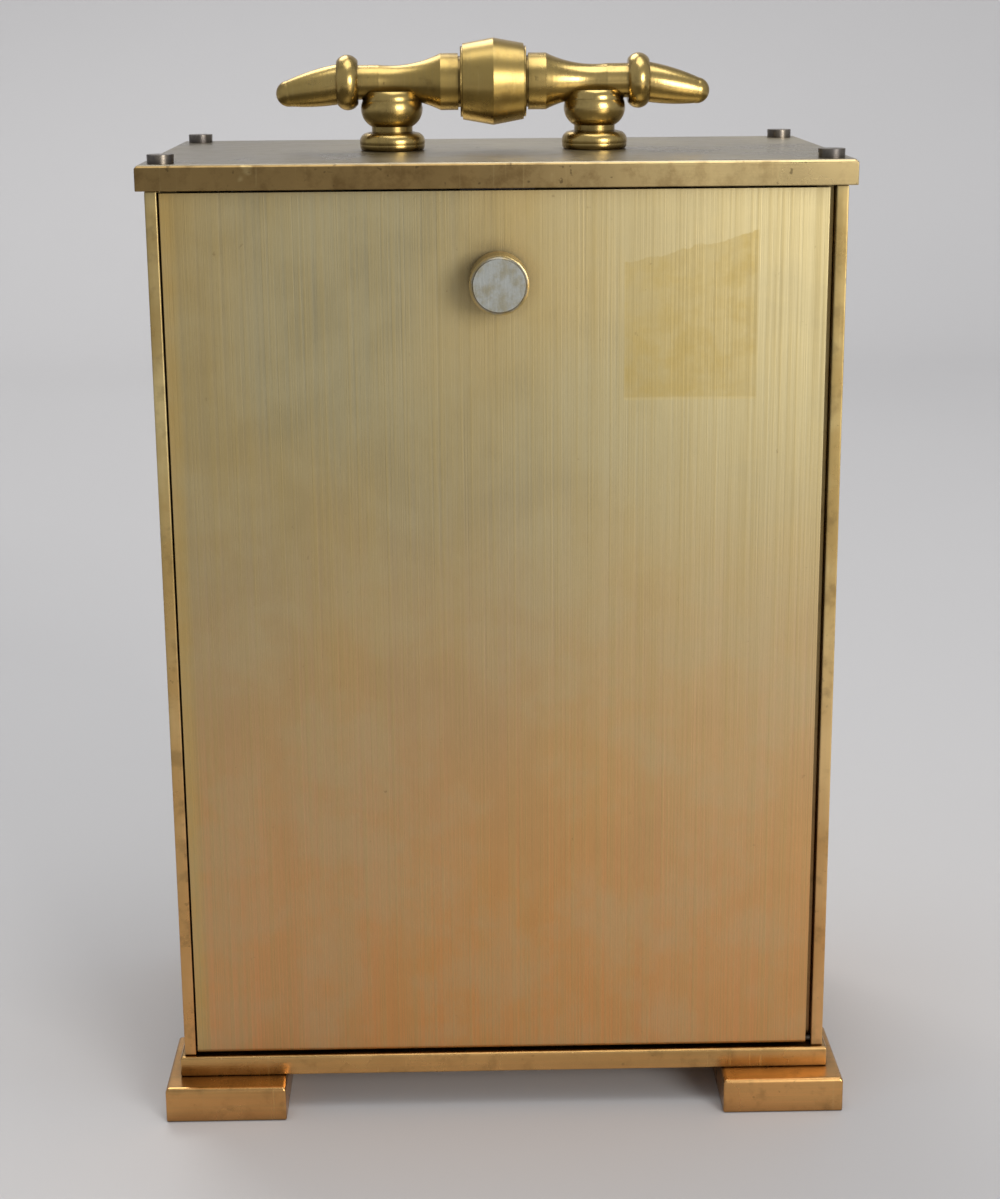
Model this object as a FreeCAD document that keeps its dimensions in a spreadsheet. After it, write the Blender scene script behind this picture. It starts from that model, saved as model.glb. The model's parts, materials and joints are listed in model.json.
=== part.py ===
import FreeCAD, Part
import math
import os
from types import SimpleNamespace

import Sketcher
from FreeCAD import Placement, Rotation, Vector

# Mantel clock, millimetres.  +Z is up and the clock stands on z = 0.
# The dial looks along -Y and the back door along +Y.  The origin lies on
# the ground under the middle of the case.

SIZES = {
    # case
    "CaseWidth": 112.0,
    "CaseDepth": 66.0,
    "CaseHeight": 149.6,
    "BaseThickness": 3.6,
    "BaseOverhang": 0.8,
    "TopThickness": 4.1,
    "TopOverhang": 1.3,
    "PlateBevel": 0.5,
    "FootHeight": 6.3,
    "FootWidth": 20.9,
    "FootDepth": 21.0,
    "FootSide": 3.0,
    "FootProud": 5.6,
    "FootBevel": 0.4,
    # corner bars, with a rebate for door or bezel and a groove for the side panel
    "BarWidth": 5.0,
    "BarDepth": 6.2,
    "BarLip": 2.0,
    "RebateDepth": 1.8,
    "GrooveDepth": 1.0,
    "PanelThickness": 1.5,
    "PanelInset": 0.6,
    "FitGap": 0.05,
    "PanelEndGap": 0.2,
    # case screws
    "ScrewRadius": 1.1,
    "ScrewInsetX": 2.4,
    "ScrewInsetY": 3.3,
    "ScrewDepth": 9.0,
    "ScrewHeadRadius": 2.15,
    "ScrewHeadHeight": 1.4,
    "SlotWidth": 0.7,
    "SlotDepth": 0.6,
    "CounterboreDepth": 3.2,
    "ThreadPlay": 0.02,
    # back door
    "DoorThickness": 1.6,
    "DoorRecess": 0.1,
    "DoorGapTight": 0.25,
    "DoorGapWide": 0.95,
    "DoorGapTop": 0.4,
    "DoorGapBottom": 0.35,
    "PinRadius": 0.45,
    "PinReach": 3.0,
    "PinPlay": 0.05,
    "KnobRadius": 4.75,
    "KnobLength": 8.0,
    "KnobNeckRadius": 3.4,
    "KnobNeckLength": 1.6,
    "KnobEdge": 0.6,
    "KnobShankRadius": 1.5,
    "KnobDrop": 14.6,
    "RivetRadius": 2.6,
    "RivetHeight": 0.8,
    "CatchWidth": 12.0,
    "CatchThickness": 0.4,
    "CatchFoot": 9.0,
    "CatchDrop": 7.0,
    "CatchGap": 0.3,
    # front
    "BezelThickness": 1.6,
    "BezelMarginX": 10.6,
    "BezelMarginZ": 11.5,
    "GlassThickness": 1.8,
    "GlassLap": 2.6,
    "PostRadius": 1.7,
    "PostInset": 5.4,
    "DialThickness": 1.2,
    "DialSideGap": 0.6,
    "DialSetback": 7.4,
    "DialRaise": 3.4,
    "DialHole": 4.0,
    "MarkerRadius": 39.0,
    "MarkerLength": 5.5,
    "MarkerWidth": 1.6,
    "MarkerThickness": 0.4,
    "HandThickness": 0.4,
    "MinuteHandLength": 37.0,
    "HourHandLength": 26.0,
    "HandWidth": 3.2,
    "HandHub": 3.4,
    "HandGap": 0.8,
    # handle
    "HandleRise": 11.4,
    "BarrelHalf": 5.6,
    "BarrelEndRadius": 6.35,
    "BarrelMidRadius": 7.3,
    "CollarRadius": 4.3,
    "CollarLength": 0.4,
    "ArmRadius": 4.75,
    "ArmStraight": 9.0,
    "WaistRadius": 2.9,
    "WaistAt": 19.5,
    "RingAt": 24.9,
    "RingRadius": 4.65,
    "RingHalf": 1.8,
    "TipRadius": 3.35,
    "TipRound": 2.2,
    "TipAt": 37.3,
    "TipDroop": 10.0,
    "PostAt": 17.4,
    "PostFlangeRadius": 5.65,
    "PostFlangeHeight": 2.9,
    "PostNeckRadius": 3.5,
    "PostNeckHeight": 4.0,
    "PostCupRadius": 5.0,
    "PostCupHeight": 9.9,
    "SeatGap": 0.02,
    # movement plates
    "PlateHalfWidth": 38.0,
    "PlateBelow": 48.0,
    "PlateAbove": 42.0,
    "PlateThickness": 1.5,
    "MotionSpace": 5.0,
    "PlateSpace": 22.0,
    "PillarRadius": 2.75,
    "SpigotRadius": 1.7,
    "PillarInset": 5.0,
    "NutRadius": 3.2,
    "NutHeight": 2.0,
    "PivotRadius": 0.45,
    "PivotPlay": 0.05,
    "ArborRadius": 0.65,
    "WheelThickness": 1.0,
    "PinionLength": 3.0,
    # train: modules and the directions of the arbors, in degrees
    "BarrelModule": 0.55,
    "IntermediateModule": 0.42,
    "CentreModule": 0.40,
    "ThirdModule": 0.34,
    "FourthModule": 0.30,
    "MotionModule": 0.38,
    "GreatWheelAt": 8.0,
    "IntermediateWheelAt": 4.6,
    "CentreWheelAt": 1.6,
    "ThirdWheelAt": 9.1,
    "FourthWheelAt": 14.1,
    "EscapeWheelAt": 5.8,
    "MotionWheelAt": 1.2,
    "HourWheelAt": 2.8,
    "IntermediateAngle": 225.0,
    "BarrelAngle": 330.0,
    "ThirdAngle": 60.0,
    "FourthAngle": 150.0,
    "EscapeAngle": 200.0,
    "PalletAngle": 140.0,
    "BalanceAngle": 75.0,
    "MinuteAngle": 10.0,
    "PalletDistance": 10.2,
    "BalanceDistance": 10.5,
    # winding and regulating parts
    "DrumLedge": 0.7,
    "DrumWall": 1.1,
    "DrumGap": 1.0,
    "GreatWheelThickness": 1.8,
    "BarrelArborRadius": 2.2,
    "BarrelCoreRadius": 4.2,
    "RatchetRadius": 8.0,
    "RatchetThickness": 1.4,
    "RatchetGap": 0.6,
    "ClickGap": 1.2,
    "ClickDrop": 5.0,
    "ClickStudRadius": 0.9,
    "KeySpan": 20.0,
    "KeyHeight": 9.0,
    "KeyThickness": 1.4,
    "KeyDoorGap": 7.6,
    "SettingKnobRadius": 5.5,
    "SettingKnobLength": 5.0,
    "KnobDoorGap": 10.7,
    "EscapeRadius": 6.6,
    "PalletLift": 0.45,
    "PalletSpread": 32.0,
    "ForkGap": 3.0,
    "BalanceRadius": 8.4,
    "BalanceRim": 1.3,
    "BalanceStart": 2.4,
    "BalanceThickness": 1.0,
    "CockStart": 5.6,
    "CockThickness": 1.8,
    "CockReach": 12.5,
    "CentreArborRadius": 0.9,
    "CannonPipeRadius": 1.5,
    "HourPipeRadius": 2.2,
    "RunPlay": 0.05,
}

# Shares and eases that hold at any size.
SHANK_SHARE = 0.8
ROLLER_SHARE = 1.4
BORE_EASE = 0.01
RATCHET_DEPTH = 1.1
BARREL_EDGE = 0.4

# Outlines of small flat parts about their own pivot, in mm.
CLICK_OUTLINE = [(-1.6, -1.6), (1.4, -2.0), (1.9, 2.4), (0.7, 6.2), (-0.6, 6.2), (-1.0, 3.0), (-2.0, 1.2)]
SPRING_OUTLINE = [(3.0, -4.0), (5.0, -4.0), (5.0, -1.6), (3.7, 0.0), (3.1, 6.0), (2.7, 6.0), (3.0, 0.0)]

os.makedirs("parts", exist_ok=True)
doc = FreeCAD.newDocument("MantelClock")
sheet = doc.addObject("Spreadsheet::Sheet", "Sizes")
for row, (alias, number) in enumerate(SIZES.items(), start=1):
    sheet.set(f"A{row}", alias)
    sheet.set(f"B{row}", str(number))
    sheet.setAlias(f"B{row}", alias)
doc.recompute()


class Size:
    """A length worked out from the sheet: its number and its expression."""

    def __init__(self, value, text=None):
        self.value = value
        self.text = str(value) if text is None else text

    def join(self, sign, other, value):
        return Size(value, f"({self.text} {sign} {other.text})")

    def __add__(self, other):
        other = as_size(other)
        return self.join("+", other, self.value + other.value)

    def __sub__(self, other):
        other = as_size(other)
        return self.join("-", other, self.value - other.value)

    def __mul__(self, other):
        other = as_size(other)
        return self.join("*", other, self.value * other.value)

    def __truediv__(self, other):
        other = as_size(other)
        return self.join("/", other, self.value / other.value)

    def __radd__(self, other):
        return as_size(other) + self

    def __rsub__(self, other):
        return as_size(other) - self

    def __rmul__(self, other):
        return as_size(other) * self

    def __neg__(self):
        return as_size(-1) * self


def as_size(number):
    return number if isinstance(number, Size) else Size(number)


def cosine(angle):
    return Size(math.cos(math.radians(angle.value)), f"cos({angle.text})")


def sine(angle):
    return Size(math.sin(math.radians(angle.value)), f"sin({angle.text})")


def polar(spot, distance, angle):
    """The point (x, z) at a distance and direction from another."""
    return spot[0] + distance * cosine(angle), spot[1] + distance * sine(angle)


s = SimpleNamespace(**{alias: Size(number, f"Sizes.{alias}") for alias, number in SIZES.items()})

# ---------------------------------------------------------------- helpers

NODES = []
ALONG = {
    "X": Rotation(Vector(0, 1, 0), 90),
    "Y": Rotation(Vector(1, 0, 0), -90),
    "Z": Rotation(),
}


def bind(item, path, length):
    """Set one property of an object to a sheet expression."""
    item.setExpression(path, as_size(length).text)


def place(item, x=0, y=0, z=0):
    """Bind the position of an object, keeping its rotation."""
    for axis, length in zip("xyz", (x, y, z)):
        bind(item, f"Placement.Base.{axis}", length)
    return item


def node(item, label):
    """Make an object one of the clock's named pieces."""
    item.Label = label
    NODES.append(item)
    return item


def block(x0, x1, y0, y1, z0, z1):
    """A box between pairs of planes."""
    item = doc.addObject("Part::Box", "Block")
    bind(item, "Length", as_size(x1) - x0)
    bind(item, "Width", as_size(y1) - y0)
    bind(item, "Height", as_size(z1) - z0)
    return place(item, x0, y0, z0)


def rod(axis, radius, length, x, y, z):
    """A cylinder that starts at a point and runs along an axis."""
    item = doc.addObject("Part::Cylinder", "Rod")
    bind(item, "Radius", radius)
    bind(item, "Height", length)
    item.Placement = Placement(Vector(), ALONG[axis])
    return place(item, x, y, z)


def cut(base, tools):
    """One piece less some others."""
    item = doc.addObject("Part::Cut", "Cut")
    item.Base = base
    item.Tool = tools[0] if len(tools) == 1 else fuse(tools)
    return item


def fuse(items):
    """Several overlapping shapes as one."""
    item = doc.addObject("Part::MultiFuse", "Fuse")
    item.Shapes = items
    return item


def group(items):
    """Separate solids of one node."""
    item = doc.addObject("Part::Compound", "Group")
    item.Links = items
    return item


def new_body(label):
    """An empty body, already listed as a piece."""
    return node(doc.addObject("PartDesign::Body", "Body"), label)


def new_sketch(body, plane, lift=0):
    """A sketch on one of the body's own origin planes, lifted along its normal."""
    sketch = body.newObject("Sketcher::SketchObject", "Sketch")
    planes = {item.Role: item for item in body.Origin.OriginFeatures}
    sketch.AttachmentSupport = (planes[f"{plane}_Plane"], "")
    sketch.MapMode = "FlatFace"
    bind(sketch, "AttachmentOffset.Base.z", lift)
    return sketch


def pin_point(sketch, geometry, end, point):
    """Hold one sketch point at a bound distance from the origin."""
    for kind, length in zip(("DistanceX", "DistanceY"), point):
        length = as_size(length)
        index = sketch.addConstraint(Sketcher.Constraint(kind, -1, 1, geometry, end, length.value))
        sketch.setExpression(f"Constraints[{index}]", length.text)


def outline(sketch, points):
    """Close an outline through points.

    A point is (x, y), reached by a line, or (x, y, rise), reached by an arc
    that rises to the left of the chord (to the right where rise is negative).
    """
    count = len(points)
    first = sketch.GeometryCount
    spots = [Vector(as_size(point[0]).value, as_size(point[1]).value, 0) for point in points]
    for index in range(count):
        start, end = spots[index - 1], spots[index]
        if len(points[index]) == 2:
            sketch.addGeometry(Part.LineSegment(start, end))
            continue
        chord = end - start
        left = Vector(-chord.y, chord.x, 0).normalize()
        middle = (start + end) * 0.5 + left * as_size(points[index][2]).value
        sketch.addGeometry(Part.Arc(start, middle, end))
    for index, point in enumerate(points):
        here = first + index
        after = first + (index + 1) % count
        sketch.addConstraint(Sketcher.Constraint("Coincident", here, arc_end(points[index]), after,
                                                 arc_start(points[(index + 1) % count])))
        pin_point(sketch, here, arc_end(point), point[:2])
        if len(point) == 3:
            bind_radius(sketch, here, arc_radius(points[index - 1], point))


def arc_end(point):
    """Which end of its segment a point is: an arc to the left runs backwards."""
    return 1 if len(point) == 3 and as_size(point[2]).value > 0 else 2


def arc_start(point):
    return 3 - arc_end(point)


def arc_radius(start, point):
    """Radius of the arc with a given chord and rise."""
    run = as_size(point[0]) - start[0]
    climb = as_size(point[1]) - start[1]
    rise = as_size(point[2])
    if rise.value < 0:
        rise = -rise
    return (run * run + climb * climb) / (8 * rise) + rise / 2


def bind_radius(sketch, geometry, radius):
    index = sketch.addConstraint(Sketcher.Constraint("Radius", geometry, radius.value))
    sketch.setExpression(f"Constraints[{index}]", radius.text)


def circle(sketch, x, y, radius):
    radius = as_size(radius)
    centre = Vector(as_size(x).value, as_size(y).value, 0)
    here = sketch.addGeometry(Part.Circle(centre, Vector(0, 0, 1), radius.value))
    pin_point(sketch, here, 3, (x, y))
    bind_radius(sketch, here, radius)


def rectangle(sketch, x0, x1, y0, y1):
    outline(sketch, [(x0, y0), (x1, y0), (x1, y1), (x0, y1)])


def pad(body, sketch, length, backwards=False, midplane=False):
    feature = body.newObject("PartDesign::Pad", "Pad")
    feature.Profile = sketch
    bind(feature, "Length", length)
    feature.Reversed = backwards
    feature.Midplane = midplane
    return feature


def pocket(body, sketch):
    """Cut a sketch right through the body, both ways."""
    feature = body.newObject("PartDesign::Pocket", "Pocket")
    feature.Profile = sketch
    feature.Type = "ThroughAll"
    feature.Midplane = True
    return feature


def revolve(body, sketch, axis="H_Axis"):
    feature = body.newObject("PartDesign::Revolution", "Revolution")
    feature.Profile = sketch
    feature.ReferenceAxis = (sketch, [axis])
    feature.Angle = 360
    return feature


def bevel(body, base, picks, size):
    """Chamfer the edges that a test picks out."""
    doc.recompute()
    edges = [f"Edge{number}" for number, edge in enumerate(base.Shape.Edges, start=1) if picks(edge)]
    feature = body.newObject("PartDesign::Chamfer", "Chamfer")
    feature.Base = (base, edges)
    bind(feature, "Size", size)
    return feature


def turned(label, profile, axis="Y", x=0, y=0, z=0):
    """A piece turned on a lathe: (along, radius) points from end to end."""
    body = new_body(label)
    plane = {"X": "XZ", "Y": "YZ", "Z": "XZ"}[axis]
    sketch = new_sketch(body, plane)
    if axis == "Z":
        outline(sketch, [(radius, along, *rest) for along, radius, *rest in profile])
        revolve(body, sketch, "V_Axis")
    else:
        outline(sketch, profile)
        revolve(body, sketch)
    return place(body, x, y, z)


# ---------------------------------------------------------------- levels

base_bottom = s.FootHeight
case_bottom = base_bottom + s.BaseThickness
case_top = case_bottom + s.CaseHeight
lid_top = case_top + s.TopThickness
half_width = s.CaseWidth / 2
half_depth = s.CaseDepth / 2
screw_x = half_width - s.ScrewInsetX
screw_y = half_depth - s.ScrewInsetY
corners = [(side, end) for end in (-1, 1) for side in (-1, 1)]

# ---------------------------------------------------------------- case


def rim_edges(level):
    """Edges that lie flat at a level."""
    def picks(edge):
        heights = [vertex.Z for vertex in edge.Vertexes]
        straight = len(edge.Vertexes) == 2 and isinstance(edge.Curve, Part.Line)
        return straight and all(abs(height - level) < 0.001 for height in heights)
    return picks


def base_plate():
    body = new_body("base_plate")
    sketch = new_sketch(body, "XY")
    across = half_width + s.BaseOverhang
    along = half_depth + s.BaseOverhang
    rectangle(sketch, -across, across, -along, along)
    plate = pad(body, sketch, s.BaseThickness)
    bevel(body, plate, rim_edges(SIZES["BaseThickness"]), s.PlateBevel / 2)
    holes = new_sketch(body, "XY")
    for side, end in corners:
        circle(holes, side * screw_x, end * screw_y, s.ScrewRadius + s.ThreadPlay)
    pocket(body, holes)
    place(body, 0, 0, base_bottom)


def feet():
    """Four blocks under the base plate, counterbored for the case screws."""
    blocks = []
    for side, end in corners:
        body = doc.addObject("PartDesign::Body", "Foot")
        sketch = new_sketch(body, "XY")
        outer_x = half_width + s.FootSide
        outer_y = half_depth + s.FootProud
        xs = sorted((side * outer_x, side * (outer_x - s.FootWidth)), key=lambda length: length.value)
        ys = sorted((end * outer_y, end * (outer_y - s.FootDepth)), key=lambda length: length.value)
        rectangle(sketch, *xs, *ys)
        foot = pad(body, sketch, s.FootHeight)
        bevel(body, foot, rim_edges(SIZES["FootHeight"]), s.FootBevel)
        hole = new_sketch(body, "XY")
        circle(hole, side * screw_x, end * screw_y, s.ScrewRadius + s.ThreadPlay)
        pocket(body, hole)
        bore = new_sketch(body, "XY")
        circle(bore, side * screw_x, end * screw_y, s.ScrewHeadRadius + s.FitGap)
        counterbore = body.newObject("PartDesign::Pocket", "Counterbore")
        counterbore.Profile = bore
        counterbore.Reversed = True
        bind(counterbore, "Length", s.CounterboreDepth)
        blocks.append(body)
    node(group(blocks), "feet")


def screw(x, y, z, up, shank, head_radius=s.ScrewHeadRadius, head=s.ScrewHeadHeight):
    """A slotted cheese-head screw on a Z axis; z is the seat of its head."""
    start = z if up > 0 else z - head
    barrel = rod("Z", head_radius, head, x, y, start)
    stem = rod("Z", s.ScrewRadius, shank, x, y, z - shank if up > 0 else z)
    slot_low = z + head - s.SlotDepth if up > 0 else z - head
    slot = block(x - head_radius, x + head_radius, y - s.SlotWidth / 2, y + s.SlotWidth / 2,
                 slot_low, slot_low + s.SlotDepth)
    return cut(fuse([barrel, stem]), [slot])


def case_screws():
    """Four screws down through the top plate and four up through the feet."""
    screws = [screw(side * screw_x, end * screw_y, lid_top, 1, s.TopThickness + s.ScrewDepth)
              for side, end in corners]
    seat = s.CounterboreDepth
    shank = case_bottom - seat + s.ScrewDepth
    screws += [screw(side * screw_x, end * screw_y, seat, -1, shank) for side, end in corners]
    node(group(screws), "case_screws")


def corner_bars():
    """Four bars that carry the plates; each is rebated outside and grooved inside."""
    for name, side, end in (("front_left", -1, -1), ("front_right", 1, -1),
                            ("rear_left", -1, 1), ("rear_right", 1, 1)):
        body = new_body(f"corner_bar_{name}")
        sketch = new_sketch(body, "XY")
        groove = s.PanelInset + s.PanelThickness + s.FitGap
        section = [
            (0, 0),
            (s.BarLip, 0),
            (s.BarLip, s.RebateDepth),
            (s.BarWidth, s.RebateDepth),
            (s.BarWidth, s.BarDepth),
            (groove, s.BarDepth),
            (groove, s.BarDepth - s.GrooveDepth),
            (s.PanelInset, s.BarDepth - s.GrooveDepth),
            (s.PanelInset, s.BarDepth),
            (0, s.BarDepth),
        ]
        outline(sketch, [(side * (half_width - u), end * (half_depth - v)) for u, v in section])
        pad(body, sketch, s.CaseHeight)
        hole = new_sketch(body, "XY")
        circle(hole, side * screw_x, end * screw_y, s.ScrewRadius + s.ThreadPlay)
        pocket(body, hole)
        if end > 0:
            pivot = new_sketch(body, "YZ")
            circle(pivot, door_pivot_y, door_pivot_z - case_bottom, s.PinRadius + s.PinPlay)
            pocket(body, pivot)
        place(body, 0, 0, case_bottom)


def side_panels():
    reach = half_depth - s.BarDepth + s.GrooveDepth - s.FitGap
    for name, side in (("left", -1), ("right", 1)):
        outer = half_width - s.PanelInset - s.FitGap / 2
        xs = sorted((side * outer, side * (outer - s.PanelThickness)), key=lambda length: length.value)
        panel = block(*xs, -reach, reach, case_bottom, case_top - s.PanelEndGap)
        node(panel, f"side_panel_{name}")


def top_plate():
    body = new_body("top_plate")
    sketch = new_sketch(body, "XY")
    across = half_width + s.TopOverhang
    along = half_depth + s.TopOverhang
    rectangle(sketch, -across, across, -along, along)
    plate = pad(body, sketch, s.TopThickness)
    bevel(body, plate, rim_edges(SIZES["TopThickness"]), s.PlateBevel)
    holes = new_sketch(body, "XY")
    for side, end in corners:
        circle(holes, side * screw_x, end * screw_y, s.ScrewRadius + s.ThreadPlay)
    for side in (-1, 1):
        circle(holes, side * s.PostAt, 0, s.ScrewRadius + s.ThreadPlay)
    pocket(body, holes)
    place(body, 0, 0, case_top)


# ---------------------------------------------------------------- back door

door_outer_y = half_depth - s.DoorRecess
door_inner_y = door_outer_y - s.DoorThickness
door_left = -(half_width - s.BarLip - s.DoorGapWide)
door_right = half_width - s.BarLip - s.DoorGapTight
door_low = case_bottom + s.DoorGapBottom
door_high = case_top - s.DoorGapTop
door_pivot_y = door_outer_y - s.DoorThickness / 2
door_pivot_z = door_low + s.DoorThickness / 2
knob_z = case_top - s.KnobDrop
QUARTER_RISE = 1 - math.sqrt(0.5)


def back_door():
    """A plate that tilts about pins in its rounded lower edge."""
    body = new_body("back_door")
    sketch = new_sketch(body, "YZ", door_left)
    outline(sketch, [
        (door_outer_y, door_high),
        (door_inner_y, door_high),
        (door_inner_y, door_pivot_z),
        (door_pivot_y, door_low, -s.DoorThickness / 2 * QUARTER_RISE),
        (door_outer_y, door_pivot_z, -s.DoorThickness / 2 * QUARTER_RISE),
    ])
    pad(body, sketch, door_right - door_left)
    hole = new_sketch(body, "XZ")
    circle(hole, 0, knob_z, s.KnobShankRadius + s.ThreadPlay)
    pocket(body, hole)
    for edge, inwards in ((door_left, 1), (door_right, -1)):
        bore = new_sketch(body, "YZ", edge)
        circle(bore, door_pivot_y, door_pivot_z, s.PinRadius + s.ThreadPlay)
        drill = body.newObject("PartDesign::Pocket", "Drill")
        drill.Profile = bore
        drill.Reversed = inwards > 0
        bind(drill, "Length", s.PinReach)


def door_hinge_pins():
    """One pin at each lower corner, pressed in the door and turning in the rear bars."""
    pins = []
    for edge, side in ((door_left, -1), (door_right, 1)):
        inner = edge - side * (s.PinReach - s.FitGap)
        outer = side * (half_width - s.FitGap)
        low, high = sorted((inner, outer), key=lambda length: length.value)
        pins.append(rod("X", s.PinRadius, high - low, low, door_pivot_y, door_pivot_z))
    node(group(pins), "door_hinge_pins")


def door_knob():
    """A turned pull whose shank is riveted over inside the door."""
    shank = s.DoorThickness + s.ThreadPlay
    turned("door_knob", [
        (-shank - s.RivetHeight, 0),
        (s.KnobLength, 0),
        (s.KnobLength, s.KnobRadius - s.KnobEdge),
        (s.KnobLength - s.KnobEdge, s.KnobRadius, s.KnobEdge * 0.3),
        (s.KnobNeckLength, s.KnobRadius),
        (s.KnobNeckLength, s.KnobNeckRadius),
        (0, s.KnobNeckRadius),
        (0, s.KnobShankRadius),
        (-shank, s.KnobShankRadius),
        (-shank, s.RivetRadius),
        (-shank - s.RivetHeight, s.RivetRadius),
    ], y=door_outer_y, z=knob_z)


def door_catch_spring():
    """A leaf under the top plate that presses behind the door."""
    body = new_body("door_catch_spring")
    sketch = new_sketch(body, "YZ")
    back = door_inner_y - s.CatchGap
    thick = s.CatchThickness
    low = case_top - s.CatchDrop
    outline(sketch, [
        (back - s.CatchFoot, case_top),
        (back - s.CatchFoot, case_top - thick),
        (back - 2 * thick, case_top - thick),
        (back - 2 * thick, low + 3 * thick),
        (back - thick, low + 2 * thick),
        (back - 2 * thick, low),
        (back - thick, low),
        (back, low + 2 * thick),
        (back - thick, low + 3 * thick),
        (back - thick, case_top),
    ])
    pad(body, sketch, s.CatchWidth, midplane=True)


# ---------------------------------------------------------------- front

bezel_front = s.DoorRecess - half_depth
bezel_back = bezel_front + s.BezelThickness
dial_front = s.DialSetback - half_depth
dial_back = dial_front + s.DialThickness
dial_z = case_bottom + s.CaseHeight / 2 + s.DialRaise
post_x = half_width - s.BarWidth - s.PostRadius - s.FitGap * 10
bezel_half = half_width - s.BarLip - s.DoorGapTight
bezel_low = case_bottom + s.DoorGapBottom
bezel_high = case_top - s.DoorGapTop
window_half = bezel_half - s.BezelMarginX
window_low = bezel_low + s.BezelMarginZ
window_high = bezel_high - s.BezelMarginZ
post_zs = (bezel_low + s.PostInset, bezel_high - s.PostInset)


def front_bezel():
    """A frame in the front rebates with four posts that carry the dial."""
    body = new_body("front_bezel")
    sketch = new_sketch(body, "XZ", -bezel_back)
    rectangle(sketch, -bezel_half, bezel_half, bezel_low, bezel_high)
    frame = pad(body, sketch, s.BezelThickness)
    window = new_sketch(body, "XZ")
    rectangle(window, -window_half, window_half, window_low, window_high)
    pocket(body, window)
    posts = new_sketch(body, "XZ", -bezel_back)
    for side in (-1, 1):
        for z in post_zs:
            circle(posts, side * post_x, z, s.PostRadius)
    pad(body, posts, dial_front - bezel_back, backwards=True)
    holes = new_sketch(body, "XZ", -dial_front)
    for side in (-1, 1):
        for z in post_zs:
            circle(holes, side * post_x, z, s.ScrewRadius * SHANK_SHARE + s.ThreadPlay)
    drill = body.newObject("PartDesign::Pocket", "Drill")
    drill.Profile = holes
    drill.Reversed = True
    bind(drill, "Length", s.PostRadius * 2)


def front_glass():
    lap = s.GlassLap
    node(block(-window_half - lap, window_half + lap, bezel_back, bezel_back + s.GlassThickness,
               window_low - lap, window_high + lap), "front_glass")


# ---------------------------------------------------------------- handle

handle_z = lid_top + s.HandleRise


def arm_profile(grow):
    """Half of the spindle beside the barrel: taper, waist and ring."""
    collar_end = s.BarrelHalf + s.CollarLength
    ring_in = s.RingAt - s.RingHalf
    ring_out = s.RingAt + s.RingHalf
    return [
        (s.BarrelHalf, 0),
        (ring_out, 0),
        (ring_out, s.TipRadius + 0.3 + grow),
        (ring_in, s.TipRadius + 0.3 + grow, -(s.RingRadius - s.TipRadius - 0.3)),
        (ring_in, s.WaistRadius + grow),
        (s.WaistAt, s.WaistRadius + grow),
        (s.ArmStraight, s.ArmRadius + grow, s.ArmRadius * 0.16),
        (collar_end, s.ArmRadius + grow),
        (collar_end, s.CollarRadius + grow),
        (s.BarrelHalf, s.CollarRadius + grow),
    ]


def tip_profile():
    """The rounded end beyond the ring, from the middle of the ring outwards."""
    length = s.TipAt - s.RingAt
    return [
        (0, 0),
        (length, 0),
        (length - s.TipRound, s.TipRound, -s.TipRound * QUARTER_RISE),
        (0, s.TipRadius, -0.35),
    ]


def spindle(profile, side, droop, start):
    """A turned length of the handle that points to one side and may droop a little."""
    body = doc.addObject("PartDesign::Body", "Spindle")
    sketch = new_sketch(body, "XZ")
    outline(sketch, profile)
    revolve(body, sketch)
    turn = Rotation(Vector(0, 0, 1), 180 if side < 0 else 0)
    body.Placement = Placement(Vector(), turn.multiply(Rotation(Vector(0, 1, 0), droop)))
    return place(body, side * start, 0, handle_z)


def handle():
    length = s.BarrelHalf
    edge = s.BarrelEndRadius - BARREL_EDGE
    turned("handle_barrel", [
        (-length, 0),
        (length, 0),
        (length, edge),
        (length - BARREL_EDGE, s.BarrelEndRadius, 0.25),
        (0, s.BarrelMidRadius),
        (BARREL_EDGE - length, s.BarrelEndRadius),
        (-length, edge, 0.25),
    ], axis="X", z=handle_z)
    for name, side in (("left", -1), ("right", 1)):
        arm = spindle(arm_profile(0), side, 0, 0)
        tip = spindle(tip_profile(), side, s.TipDroop.value, s.RingAt)
        node(fuse([arm, tip]), f"handle_arm_{name}")
    for name, side in (("left", -1), ("right", 1)):
        post = doc.addObject("PartDesign::Body", "Post")
        sketch = new_sketch(post, "XZ")
        flange = s.PostFlangeRadius
        height = s.PostFlangeHeight
        outline(sketch, [
            (0, 0),
            (flange - 0.4, 0),
            (flange - 0.1, 1.0, -0.12),
            (flange - 1.0, height, -0.4),
            (s.PostNeckRadius, height + 0.25),
            (s.PostNeckRadius, s.PostNeckHeight),
            (s.PostCupRadius, s.PostCupHeight - 1.6, -0.9),
            (s.PostCupRadius - 0.6, s.PostCupHeight, -0.2),
            (0, s.PostCupHeight),
        ])
        revolve(post, sketch, "V_Axis")
        bore = new_sketch(post, "XY")
        circle(bore, 0, 0, s.ScrewRadius + s.ThreadPlay)
        drill = post.newObject("PartDesign::Pocket", "Drill")
        drill.Profile = bore
        drill.Reversed = True
        bind(drill, "Length", s.PostNeckHeight + 1)
        place(post, side * s.PostAt, 0, lid_top)
        socket = spindle(arm_profile(s.SeatGap), side, 0, 0)
        node(cut(post, [socket]), f"handle_post_{name}")
    seat = case_top
    screws = [screw(side * s.PostAt, 0, seat, -1, s.TopThickness + s.PostNeckHeight) for side in (-1, 1)]
    node(group(screws), "handle_screws")


# ---------------------------------------------------------------- dial and hands

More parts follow.
